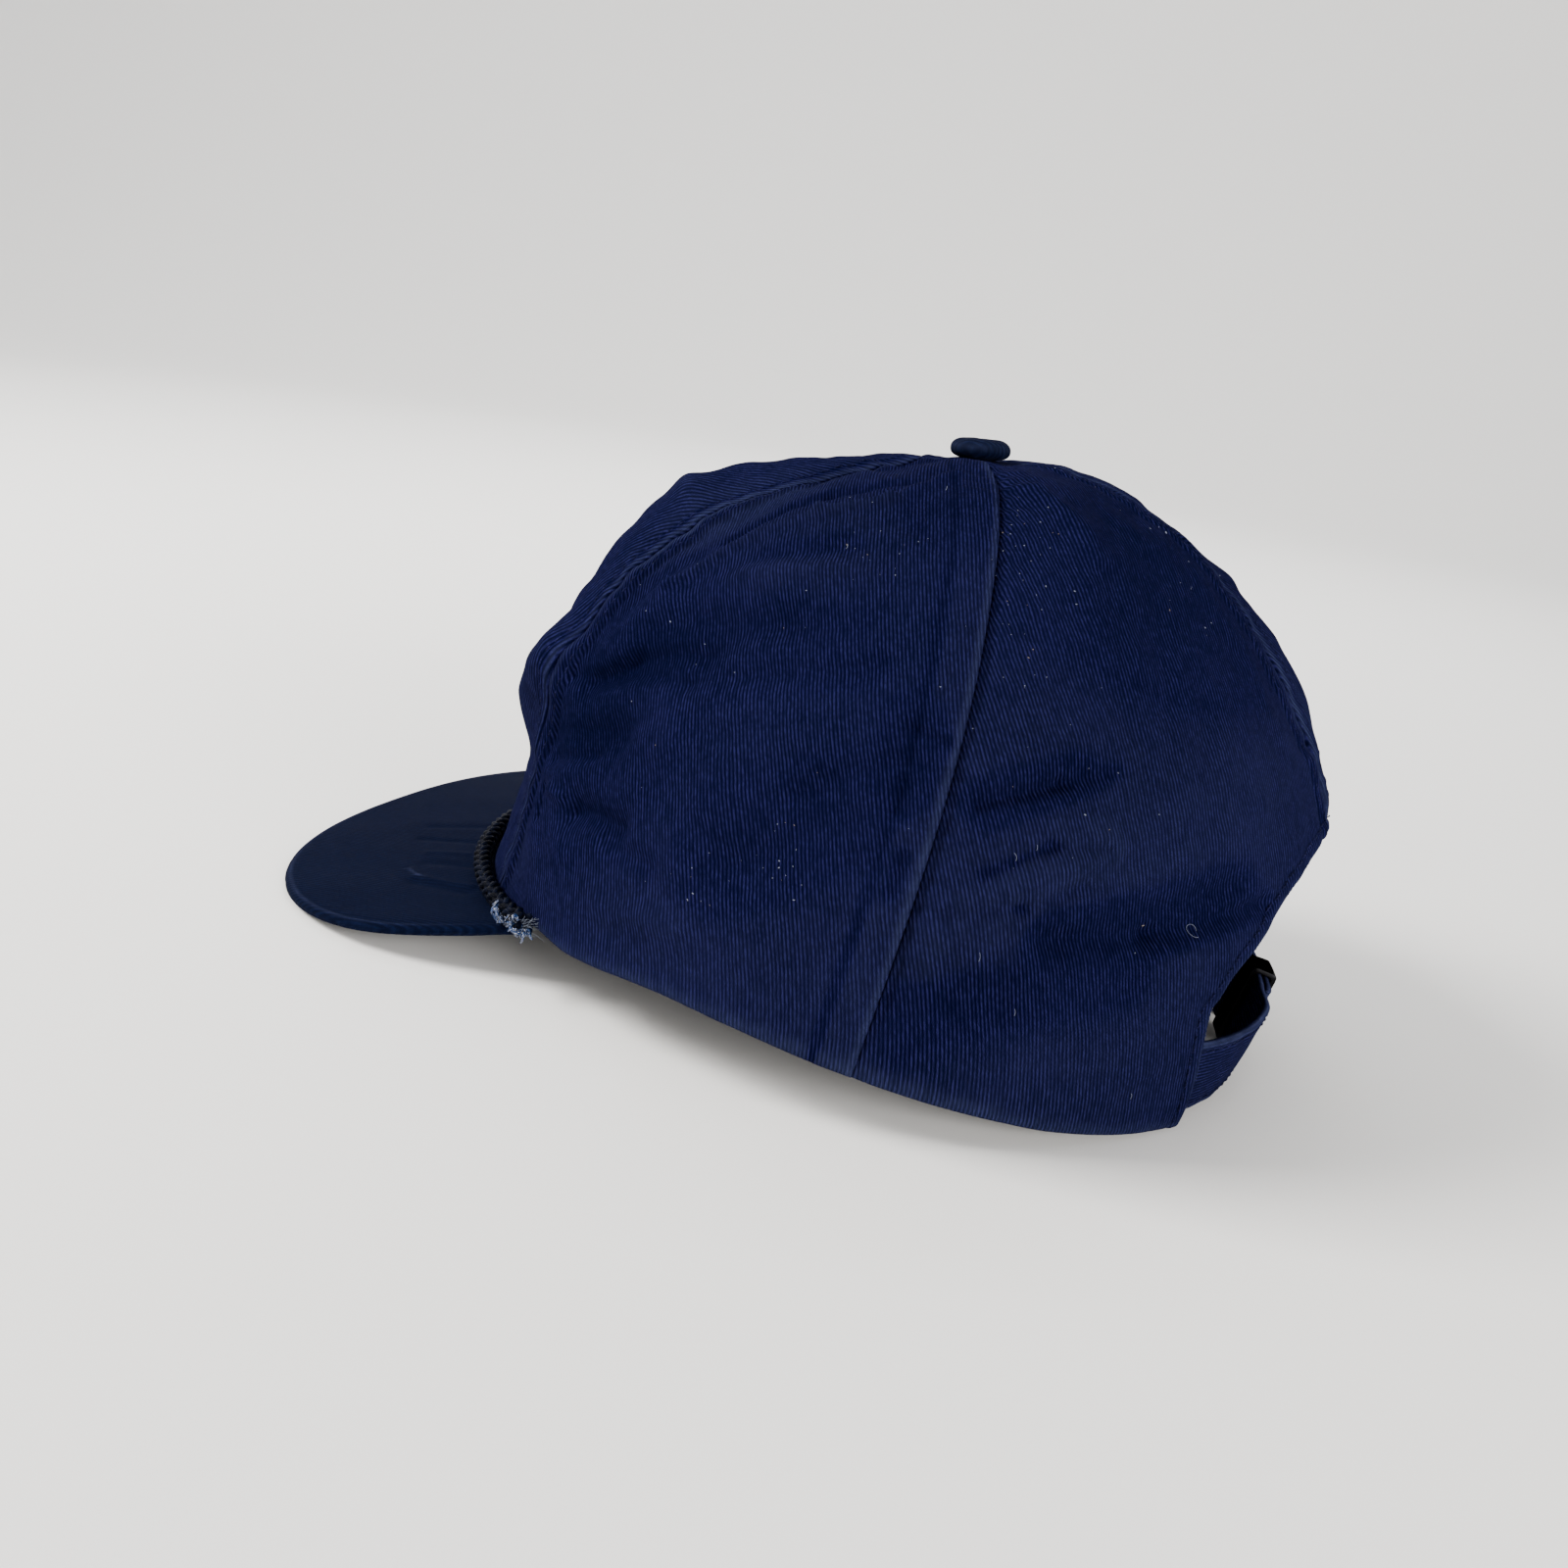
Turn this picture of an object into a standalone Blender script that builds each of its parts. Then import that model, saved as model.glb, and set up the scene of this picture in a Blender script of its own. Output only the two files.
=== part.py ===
"""A five-panel cotton cap: rope along the peak, cloth strap at the back.

The wearer faces -Y, the wearer's left is +X and +Z is up. The cap rests by itself
on the plane z = 0, on the tip of its peak and the two back corners of its crown.
The pieces are worked out in the crown's own frame, where z = 0 is the lower edge
at the back, and an empty then lays them down. Lengths are in metres.

On the crown, azimuth 0 is the front, pi / 2 the wearer's left and pi the back,
and share runs up a meridian from 0 at the lower edge to 1 at the top.
"""

import math
from collections import namedtuple

import bmesh
import bpy
import numpy as np

# Crown
CROWN_LENGTH = 0.200
CROWN_WIDTH = 0.1776
CROWN_HEIGHT = 0.118
CLOTH = 0.0015
SEAM_CENTRE_AHEAD = 0.0106
TOP_LEAN = math.radians(12.5)
TOP_LEAN_FROM = 0.5
TOP_HOLE_RADIUS = 0.0025
FRONT_SEAM = math.radians(43)
MID_SEAM = math.radians(116)
SEAM_GAP = 0.0003
SEAM_DIP = 0.0007
SEAM_DIP_REACH = 0.0035
SEAM_DIP_UNTIL = 0.9
LEVEL_RIM = 0.06

# Opening at the back
ARCH_HEIGHT = 0.0665
ARCH_WIDTH = 0.084
ARCH_FOOT_WIDTH = 0.070
ARCH_SHOULDER = 0.032
ARCH_FULLNESS = 1.3

# Peak
PEAK_LENGTH = 0.050
PEAK_HALF_WIDTH = 0.0890
PEAK_THICKNESS = 0.003
PEAK_EDGE_THICKNESS = 0.002
PEAK_EDGE_REACH = 0.0025
PEAK_CORNER = math.radians(58)
PEAK_SLOPE = math.radians(18.2)
PEAK_BOW = 0.0071
PEAK_SQUARENESS = 0.71
PEAK_CORNER_TURN = 8
FRONT_DROP = 0.0175
CORNER_BLEND = math.radians(11)

# Rope, button and strap
ROPE_DIAMETER = 0.0050
ROPE_PAST_CORNER = math.radians(3)
BUTTON_DIAMETER = 0.0142
BUTTON_HEIGHT = 0.0048
STRAP_WIDTH = 0.019
STRAP_THICKNESS = 0.0015
STRAP_LIFT = 0.003
STRAP_SEWN = 0.014
STRAP_OVERLAP = 0.022
STRAP_FREE_AFTER = 0.012
SLIDE_LENGTH = 0.009
SLIDE_WALL = 0.0010
SLIDE_ROOM = 0.0005
SLIDE_OFF_CENTRE = 0.022

# How finely the solids are cut
CROWN_ROWS = 20
ARCH_FOOT_ROWS = 4
ARCH_ROWS = 7
ARCH_CROWN_ROWS = 11
FRONT_COLUMNS = 18
SIDE_COLUMNS = 15
BACK_COLUMNS = 12
PEAK_COLUMNS = 32
ROPE_POINTS = 48
STRAP_STEP = 0.005
STRAP_ROWS = 3
BUTTON_SIDES = 20

# Sections up the crown: low and high are how far a meridian swells a third and two
# thirds of the way up, as shares of its radius; lift raises the lower edge, as a
# share of the crown's height.
Meridian = namedtuple("Meridian", "azimuth roundness low high lift")
MERIDIANS = (
    Meridian(0, 2.25, -0.01, 0.03, 0),
    Meridian(25, 2.55, -0.05, 0.08, 0),
    Meridian(45, 1.90, -0.04, 0.18, -0.060),
    Meridian(65, 2.30, -0.01, 0.02, -0.053),
    Meridian(90, 2.45, 0, 0.01, 0.015),
    Meridian(118, 2.78, 0, 0.025, 0.025),
    Meridian(150, 2.50, 0, 0.02, 0.005),
    Meridian(180, 2.42, 0.02, 0.065, 0.005),
)

# Folds and dents: each runs along the crown between two points. The azimuths are in
# degrees, the shares go up the meridian, and reach (half its width) and depth
# (outward) are shares of the crown's height.
Fold = namedtuple("Fold", "azimuth share end_azimuth end_share reach depth")
FOLDS = (
    Fold(59, 0.39, 82, 0.46, 0.042, -0.012),
    Fold(52, 0.32, 73, 0.37, 0.042, -0.017),
    Fold(57, 0.46, 84, 0.54, 0.060, 0.010),
    Fold(47, 0.24, 64, 0.24, 0.045, -0.017),
    Fold(60, 0.14, 71, 0.14, 0.030, -0.015),
    Fold(91, 0.15, 103, 0.22, 0.075, -0.012),
    Fold(110, 0.37, 111, 0.28, 0.040, -0.010),
    Fold(121, 0.29, 132, 0.37, 0.035, -0.012),
    Fold(119, 0.12, 137, 0.30, 0.040, 0.015),
    Fold(134, 0.17, 156, 0.27, 0.042, -0.021),
    Fold(120, 0.05, 144, 0.15, 0.050, -0.008),
    Fold(129, 0.90, 144, 0.72, 0.040, 0.010),
    Fold(44, 0.59, 60, 0.78, 0.040, 0.012),
    Fold(29, 0.18, 39, 0.31, 0.056, 0.050),
    Fold(20, 0.42, 30, 0.35, 0.045, -0.014),
    Fold(14, 0.55, 31, 0.58, 0.038, 0.016),
    Fold(172, 0.68, 172, 0.50, 0.040, 0.007),
    Fold(-50, 0.36, -76, 0.42, 0.045, -0.014),
    Fold(-58, 0.17, -74, 0.15, 0.040, -0.012),
    Fold(-88, 0.20, -104, 0.30, 0.070, -0.012),
    Fold(-121, 0.14, -139, 0.30, 0.045, 0.013),
    Fold(-134, 0.16, -156, 0.24, 0.042, -0.017),
    Fold(-44, 0.58, -61, 0.76, 0.040, 0.012),
    Fold(-31, 0.18, -38, 0.30, 0.060, 0.035),
    Fold(-36, 0.45, -38, 0.58, 0.065, 0.020),
    Fold(-171, 0.67, -173, 0.52, 0.060, 0.029),
    Fold(-165, 0.93, -125, 0.90, 0.050, 0.011),
)

NAVY_COTTON = (0.012, 0.017, 0.060, 1)
PEAK_COTTON = (0.010, 0.017, 0.045, 1)
ROPE_NAVY = (0.006, 0.009, 0.026, 1)
SLIDE_METAL = (0.045, 0.045, 0.048, 1)

HALF_LENGTH = CROWN_LENGTH / 2
HALF_WIDTH = CROWN_WIDTH / 2


def smooth_step(values):
    ramp = np.clip(values, 0, 1)
    return ramp * ramp * (3 - 2 * ramp)


def table_columns():
    """The meridian table once round the crown, and a row past each end."""
    half = [(math.radians(row.azimuth), *row[1:]) for row in MERIDIANS]
    mirrored = [(-row[0], *row[1:]) for row in half[:0:-1]]
    once = np.array(mirrored + half)
    turn = np.array([math.tau, 0, 0, 0, 0])
    return np.vstack([once[-3:-1] - turn, once, once[1:3] + turn])


TABLE = table_columns()


def meridian(azimuth):
    """Roundness, low, high and lift at an azimuth, on a smooth curve through the table."""
    knots = TABLE[:, 0]
    around = (azimuth + math.pi) % math.tau - math.pi
    low = np.clip(np.searchsorted(knots, around, side="right") - 1, 1, len(knots) - 3)
    span = knots[low + 1] - knots[low]
    part = (around - knots[low]) / span
    columns = []
    for values in TABLE.T[1:]:
        tilt_here = (values[low + 1] - values[low - 1]) / (knots[low + 1] - knots[low - 1])
        tilt_next = (values[low + 2] - values[low]) / (knots[low + 2] - knots[low])
        columns.append(
            (2 * part**3 - 3 * part**2 + 1) * values[low]
            + (part**3 - 2 * part**2 + part) * span * tilt_here
            + (3 * part**2 - 2 * part**3) * values[low + 1]
            + (part**3 - part**2) * span * tilt_next
        )
    return columns


def base_ray(azimuth):
    """Direction and length from the seams' centre to the crown's oval lower outline."""
    across = np.sin(azimuth)
    along = -np.cos(azimuth)
    square = (across / HALF_WIDTH) ** 2 + (along / HALF_LENGTH) ** 2
    middle = -SEAM_CENTRE_AHEAD * along / HALF_LENGTH**2
    rest = (SEAM_CENTRE_AHEAD / HALF_LENGTH) ** 2 - 1
    radius = (-middle + np.sqrt(middle**2 - square * rest)) / square
    return across, along, radius


def peak_top(x, y):
    """Height of the peak's upper side."""
    bow = PEAK_BOW * (x / PEAK_HALF_WIDTH) ** 2
    return -FRONT_DROP + math.tan(PEAK_SLOPE) * (y + HALF_LENGTH) - bow


def lower_edge(azimuth, lift):
    """Height of the crown's lower edge, whose inner side sits on the peak."""
    across, along, radius = base_ray(azimuth)
    inner = radius - CLOTH
    on_peak = peak_top(inner * across, inner * along - SEAM_CENTRE_AHEAD) + SEAM_GAP
    around = np.abs((azimuth + math.pi) % math.tau - math.pi)
    free = smooth_step((around - PEAK_CORNER) / CORNER_BLEND)
    return on_peak * (1 - free) + lift * CROWN_HEIGHT * free


def smooth_crown(azimuth, share):
    """The crown's outer side without seams and folds, as points."""
    across, along, radius = base_ray(azimuth)
    roundness, low, high, lift = meridian(azimuth)
    foot = lower_edge(azimuth, lift)
    turn = np.clip(share, 0, 1) * math.pi / 2
    out = np.cos(turn).clip(0) ** (2 / roundness)
    rise = np.sin(turn).clip(0) ** (2 / roundness)
    swell = 1 + 6.75 * rise * (1 - rise) * (low * (1 - rise) + high * rise)
    reach = radius * out * swell
    x = reach * across
    y = reach * along - SEAM_CENTRE_AHEAD
    z = foot + (CROWN_HEIGHT - foot) * rise
    leaning = smooth_step((share - TOP_LEAN_FROM) / (1 - TOP_LEAN_FROM))
    z = z + math.tan(TOP_LEAN) * reach * along * leaning
    return np.stack([x, y, z], axis=-1)


def crown_normal(azimuth, share):
    """Outward unit vectors of the smooth crown, level at its lower edge."""
    step = 0.004
    low = np.clip(share - step, 0, 1 - 2 * step)
    up = smooth_crown(azimuth, low + 2 * step) - smooth_crown(azimuth, low)
    round_it = smooth_crown(azimuth + step, share) - smooth_crown(azimuth - step, share)
    normal = np.cross(round_it, up)
    normal[..., 2] *= smooth_step(share / LEVEL_RIM)
    return normal / np.linalg.norm(normal, axis=-1, keepdims=True)


def flat_place(azimuth, share):
    """Rough lengths round and up the crown, for distances to seams and folds."""
    radius = (HALF_LENGTH + HALF_WIDTH) / 2
    up = share * (radius + CROWN_HEIGHT) * math.pi / 4
    return azimuth * radius * np.cos(share * math.pi / 2), up


def relief(azimuth, share):
    """How far seams and folds move the cloth outward."""
    around = (azimuth + math.pi) % math.tau - math.pi
    moved = np.zeros(np.broadcast(azimuth, share).shape)
    for fold in FOLDS:
        ends = np.radians([fold.azimuth, fold.end_azimuth])
        x, y = flat_place(around - ends[0], share)
        x_end, y_end = flat_place(ends[1] - ends[0], fold.end_share)
        y_start = flat_place(0, fold.share)[1]
        run = np.array([x_end, y_end - y_start])
        along = ((x * run[0] + (y - y_start) * run[1]) / (run @ run)).clip(0, 1)
        away = np.hypot(x - along * run[0], y - y_start - along * run[1])
        reach = fold.reach * CROWN_HEIGHT
        moved += fold.depth * CROWN_HEIGHT * np.exp(-((away / reach) ** 2))
    fade = 1 - smooth_step((share - SEAM_DIP_UNTIL) / (1 - SEAM_DIP_UNTIL))
    for seam in (FRONT_SEAM, MID_SEAM, math.pi):
        away = flat_place(np.abs(around) - seam, share)[0]
        moved -= SEAM_DIP * fade * np.exp(-((away / SEAM_DIP_REACH) ** 2))
    return moved * smooth_step(share / LEVEL_RIM)


def crown_point(azimuth, share, depth, kept=1):
    """Points of the cloth, depth below its outer side, with its relief kept or flattened."""
    azimuth = np.asarray(azimuth, dtype=float)
    share = np.asarray(share, dtype=float)
    outward = (relief(azimuth, share) * kept - depth)[..., None]
    return smooth_crown(azimuth, share) + outward * crown_normal(azimuth, share)


def share_at_height(azimuth, height):
    """How far up a meridian the crown is at a height."""
    roundness, low, high, lift = meridian(azimuth)
    foot = lower_edge(azimuth, lift)
    rise = np.clip((height - foot) / (CROWN_HEIGHT - foot), 0, 1)
    return np.arcsin(rise ** (roundness / 2)) * 2 / math.pi


def share_at_top_hole(azimuth):
    radius = base_ray(azimuth)[2]
    roundness = meridian(azimuth)[0]
    return np.arccos((TOP_HOLE_RADIUS / radius) ** (roundness / 2)) * 2 / math.pi


def reach_at(azimuth, share):
    """Distance of the crown from the seams' centre."""
    point = smooth_crown(azimuth, share)
    return np.maximum(np.hypot(point[..., 0], point[..., 1] + SEAM_CENTRE_AHEAD), TOP_HOLE_RADIUS)


def new_material(name, colour, roughness, metallic=0):
    material = bpy.data.materials.new(name)
    material.use_nodes = True
    shader = material.node_tree.nodes["Principled BSDF"]
    shader.inputs["Base Color"].default_value = colour
    shader.inputs["Roughness"].default_value = roughness
    shader.inputs["Metallic"].default_value = metallic
    return material


def add_object(name, data, material, holder):
    data.materials.append(material)
    piece = bpy.data.objects.new(name, data)
    bpy.context.scene.collection.objects.link(piece)
    piece.parent = holder
    return piece


def add_mesh(name, points, faces, material, holder):
    mesh = bpy.data.meshes.new(name)
    mesh.from_pydata([tuple(point) for point in points], [], faces)
    body = bmesh.new()
    body.from_mesh(mesh)
    bmesh.ops.recalc_face_normals(body, faces=body.faces)
    body.to_mesh(mesh)
    body.free()
    mesh.shade_smooth()
    mesh.set_sharp_from_angle(angle=math.radians(40))
    return add_object(name, mesh, material, holder)


def add_wall(name, outer, inner, material, holder):
    """A closed wall between two grids of points with the same rows and columns."""
    rows, columns = outer.shape[:2]
    points = np.concatenate([outer.reshape(-1, 3), inner.reshape(-1, 3)])
    inside = rows * columns
    faces = []
    for row in range(rows - 1):
        for column in range(columns - 1):
            corner = row * columns + column
            face = (corner, corner + 1, corner + columns + 1, corner + columns)
            faces.append(face)
            faces.append(tuple(inside + index for index in reversed(face)))
    first_row = list(range(columns))
    last_row = [(rows - 1) * columns + column for column in range(columns)]
    first_column = [row * columns for row in range(rows)]
    last_column = [row * columns + columns - 1 for row in range(rows)]
    for rim in (first_row, last_row, first_column, last_column):
        for start, end in zip(rim, rim[1:]):
            faces.append((start, end, end + inside, start + inside))
    return add_mesh(name, points, faces, material, holder)


def add_sleeve(name, rings, material, holder):
    """A closed ring-shaped solid: each ring is a closed loop, the last joins the first."""
    count, sides = rings.shape[:2]
    faces = []
    for ring in range(count):
        after = (ring + 1) % count
        for side in range(sides):
            beside = (side + 1) % sides
            faces.append(
                (ring * sides + side, ring * sides + beside, after * sides + beside, after * sides + side)
            )
    return add_mesh(name, rings.reshape(-1, 3), faces, material, holder)


def crown_wall(name, azimuths, shares, material, holder):
    outer = crown_point(azimuths, shares, 0)
    inner = crown_point(azimuths, shares, CLOTH)
    return add_wall(name, outer, inner, material, holder)


def seam_side(seam, share, side):
    """Azimuth of a panel's edge at a seam, half the seam's gap to one side of it."""
    return seam + side * SEAM_GAP / 2 / reach_at(np.full_like(share, seam), share)


def full_panel(name, first_seam, last_seam, columns, material, holder):
    """A panel that reaches from the lower edge to the top between two seams."""
    rows = np.linspace(0, 1, CROWN_ROWS + 1)
    first = seam_side(first_seam, rows * share_at_top_hole(first_seam), 1)
    last = seam_side(last_seam, rows * share_at_top_hole(last_seam), -1)
    across = np.linspace(0, 1, columns + 1)
    azimuths = first[:, None] + (last - first)[:, None] * across
    shares = rows[:, None] * share_at_top_hole(azimuths)
    return crown_wall(name, azimuths, shares, material, holder)


def arch_rows():
    """Shares and half widths of the back opening's rows, from its foot to its top."""
    foot = np.linspace(0, 1, ARCH_FOOT_ROWS + 1)[:-1]
    foot_width = ARCH_FOOT_WIDTH + (ARCH_WIDTH - ARCH_FOOT_WIDTH) * smooth_step(foot)
    turn = np.linspace(0, math.pi / 2, ARCH_ROWS + 1)
    rise = np.sin(turn) ** (2 / ARCH_FULLNESS)
    heights = np.concatenate([foot * ARCH_SHOULDER, ARCH_SHOULDER + (ARCH_HEIGHT - ARCH_SHOULDER) * rise])
    widths = np.concatenate([foot_width, ARCH_WIDTH * np.cos(turn)]) / 2
    return share_at_height(math.pi, heights), widths


def back_panel(name, side, material, holder):
    """A panel from the mid seam to the arch and, above it, to the centre back seam."""
    arch_shares, arch_widths = arch_rows()
    above = np.linspace(arch_shares[-1], share_at_top_hole(math.pi), ARCH_CROWN_ROWS + 1)[1:]
    shares = np.concatenate([arch_shares, above])
    reach = reach_at(np.full_like(shares, math.pi), shares)
    widths = np.concatenate([arch_widths, np.zeros_like(above)])
    half_gap = SEAM_GAP / 2
    last = math.pi - np.arcsin(np.clip(np.maximum(widths, half_gap) / reach, 0, 1))
    first = seam_side(MID_SEAM, shares, 1)
    across = np.linspace(0, 1, BACK_COLUMNS + 1)
    azimuths = first[:, None] + (last - first)[:, None] * across
    rows = np.broadcast_to(shares[:, None], azimuths.shape)
    top = share_at_top_hole(azimuths) / share_at_top_hole(math.pi)
    return crown_wall(name, side * azimuths, rows * top, material, holder)


def peak_outline(across):
    """The peak's free edge, across from -1 to 1 between its corners."""
    corner_across, corner_along, corner_radius = base_ray(PEAK_CORNER)
    corner_x = corner_radius * corner_across
    corner_y = corner_radius * corner_along - SEAM_CENTRE_AHEAD
    turn = across * math.pi / 2
    x = PEAK_HALF_WIDTH * np.sign(turn) * np.abs(np.sin(turn)) ** PEAK_SQUARENESS
    length = corner_y + HALF_LENGTH + PEAK_LENGTH
    y = corner_y - length * np.cos(turn).clip(0) ** PEAK_SQUARENESS
    at_corner = np.abs(across) ** PEAK_CORNER_TURN
    return x * (1 - at_corner) + np.sign(across) * corner_x * at_corner, y


def add_peak(material, holder):
    across = np.linspace(-1, 1, PEAK_COLUMNS + 1)
    ray_across, ray_along, radius = base_ray(across * PEAK_CORNER)
    x_inner = (radius - CLOTH) * ray_across
    y_inner = (radius - CLOTH) * ray_along - SEAM_CENTRE_AHEAD
    x_edge, y_edge = peak_outline(across)
    width = np.hypot(x_edge - x_inner, y_edge - y_inner)
    edge_share = 1 - np.minimum(PEAK_EDGE_REACH / width, 0.5)
    rows = [np.zeros_like(across), edge_share / 3, edge_share * 2 / 3, edge_share, np.ones_like(across)]
    thinning = (PEAK_THICKNESS - PEAK_EDGE_THICKNESS) / 2
    top = []
    bottom = []
    for number, row in enumerate(rows):
        x = x_inner + (x_edge - x_inner) * row
        y = y_inner + (y_edge - y_inner) * row
        thin = thinning if number == len(rows) - 1 else 0
        top.append(np.stack([x, y, peak_top(x, y) - thin], axis=-1))
        bottom.append(np.stack([x, y, peak_top(x, y) - PEAK_THICKNESS + thin], axis=-1))
    return add_wall("peak", np.array(top), np.array(bottom), material, holder)


def rope_route():
    """The rope's middle line, laid in the corner between the crown and the peak."""
    azimuth = np.linspace(-1, 1, ROPE_POINTS) * (PEAK_CORNER + ROPE_PAST_CORNER)
    across, along, radius = base_ray(azimuth)
    off = ROPE_DIAMETER / 2 + SEAM_GAP
    x = (radius + off) * across
    y = (radius + off) * along - SEAM_CENTRE_AHEAD
    return np.stack([x, y, peak_top(x, y) + off / math.cos(PEAK_SLOPE)], axis=-1)


def add_rope(material, holder):
    curve = bpy.data.curves.new("peak_rope", "CURVE")
    curve.dimensions = "3D"
    curve.bevel_depth = ROPE_DIAMETER / 2
    curve.bevel_resolution = 2
    curve.use_fill_caps = True
    spline = curve.splines.new("POLY")
    spline.points.add(ROPE_POINTS - 1)
    for point, place in zip(spline.points, rope_route()):
        point.co = (*place, 1)
    return add_object("peak_rope", curve, material, holder)


def add_button(material, holder):
    """A flattened dome, leaning with the top of the crown."""
    radius = BUTTON_DIAMETER / 2
    turn = np.linspace(-math.pi / 2, math.pi / 2, 9)
    out = radius * np.cos(turn).clip(0) ** 0.6
    up = BUTTON_HEIGHT / 2 * (1 + np.sign(turn) * np.abs(np.sin(turn)) ** 1.2)
    around = np.arange(BUTTON_SIDES) * math.tau / BUTTON_SIDES
    profile = list(zip(out, up))[1:-1]
    rings = [[(r * math.cos(a), r * math.sin(a), h) for a in around] for r, h in profile]
    points = np.array([(0, 0, 0), *(point for ring in rings for point in ring), (0, 0, BUTTON_HEIGHT)])
    faces = []
    for side in range(BUTTON_SIDES):
        beside = (side + 1) % BUTTON_SIDES
        faces.append((0, 1 + beside, 1 + side))
        last_ring = 1 + (len(rings) - 1) * BUTTON_SIDES
        faces.append((last_ring + side, last_ring + beside, len(points) - 1))
        for ring in range(len(rings) - 1):
            start = 1 + ring * BUTTON_SIDES
            after = start + BUTTON_SIDES
            faces.append((start + side, start + beside, after + beside, after + side))
    button = add_mesh("top_button", points, faces, material, holder)
    button.rotation_euler.x = TOP_LEAN
    seat = CROWN_HEIGHT + SEAM_GAP / math.cos(TOP_LEAN)
    button.location = (0, -SEAM_CENTRE_AHEAD, seat)
    return button


def strap_points(azimuth, depth):
    """Rows up the strap, which follows the panels' folds and runs smooth between them."""
    heights = STRAP_LIFT + STRAP_WIDTH * np.linspace(0, 1, STRAP_ROWS + 1)[:, None]
    azimuths = np.broadcast_to(azimuth, (len(heights), len(azimuth)))
    shares = share_at_height(azimuths, heights)
    into_opening = back_turn(ARCH_FOOT_WIDTH / 2) - np.abs(azimuths - math.pi)
    kept = 1 - smooth_step(into_opening / back_turn(STRAP_FREE_AFTER))
    return crown_point(azimuths, shares, depth, kept)


def strap_wall(name, azimuth, depth, material, holder):
    outer = strap_points(azimuth, depth)
    inner = strap_points(azimuth, depth + STRAP_THICKNESS)
    return add_wall(name, outer, inner, material, holder)


def back_turn(length):
    """Angle that a length takes up round the back of the crown."""
    return length / (HALF_LENGTH + SEAM_CENTRE_AHEAD)


STRAP_DEPTH = CLOTH + SEAM_GAP
STRAP_STACK = STRAP_THICKNESS + SEAM_GAP
SLIDE_PLACE = math.pi + back_turn(SLIDE_OFF_CENTRE)


def strap_steps(first, last):
    count = max(2, round(abs(last - first) / back_turn(STRAP_STEP)))
    return np.linspace(first, last, count + 1)


def add_straps(material, holder):
    """The long strap from the wearer's left and the short one that covers its end."""
    sewn = back_turn(ARCH_FOOT_WIDTH / 2 + STRAP_SEWN)
    overlap = back_turn(STRAP_OVERLAP) / 2
    long_strap = strap_steps(math.pi - sewn, SLIDE_PLACE + overlap)
    under = smooth_step((long_strap - SLIDE_PLACE + 2 * overlap) / overlap)
    strap_wall("strap_long", long_strap, STRAP_DEPTH + STRAP_STACK * under, material, holder)
    short_strap = strap_steps(SLIDE_PLACE - overlap, math.pi + sewn)
    strap_wall("strap_short", short_strap, np.full_like(short_strap, STRAP_DEPTH), material, holder)


def add_slide(material, holder):
    """A metal sleeve round both straps."""
    half = back_turn(SLIDE_LENGTH) / 2
    azimuths = np.linspace(SLIDE_PLACE - half, SLIDE_PLACE + half, 3)

    def loop_at(azimuth, room):
        """Corners of a loop round both straps, with room on all sides."""
        middle = STRAP_LIFT + STRAP_WIDTH / 2
        share = share_at_height(azimuth, middle)
        centre = smooth_crown(azimuth, share)
        normal = crown_normal(azimuth, share)
        across = np.cross(normal, np.cross((0.0, 0.0, 1.0), normal))
        across = across / np.linalg.norm(across)
        top = STRAP_WIDTH / 2 + room
        outside = room - STRAP_DEPTH
        inside = -(STRAP_DEPTH + STRAP_STACK + STRAP_THICKNESS + room)
        corners = ((outside, -top), (outside, top), (inside, top), (inside, -top))
        return [centre + out * normal + up * across for out, up in corners]

    inner = [loop_at(azimuth, SLIDE_ROOM) for azimuth in azimuths]
    outer = [loop_at(azimuth, SLIDE_ROOM + SLIDE_WALL) for azimuth in reversed(azimuths)]
    return add_sleeve("strap_slide", np.array(inner + outer), material, holder)


def lay_down(holder, pieces):
    """Turn the cap until peak and back corners share the floor, over the origin."""
    bpy.context.view_layer.update()
    points = np.concatenate(
        [
            [tuple(piece.matrix_world @ vertex.co) for vertex in piece.data.vertices]
            for piece in pieces
            if piece.type == "MESH"
        ]
    )
    x, y, z = points.T
    ahead = y < 0
    least = 0.0
    most = math.radians(30)
    for _ in range(50):
        tilt = (least + most) / 2
        height = y * math.sin(-tilt) + z * math.cos(tilt)
        if height[ahead].min() < height[~ahead].min():
            least = tilt
        else:
            most = tilt
    along = y * math.cos(tilt) + z * math.sin(tilt)
    holder.rotation_euler.x = -tilt
    holder.location = (
        -(x.min() + x.max()) / 2,
        -(along.min() + along.max()) / 2,
        -height.min(),
    )


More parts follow.
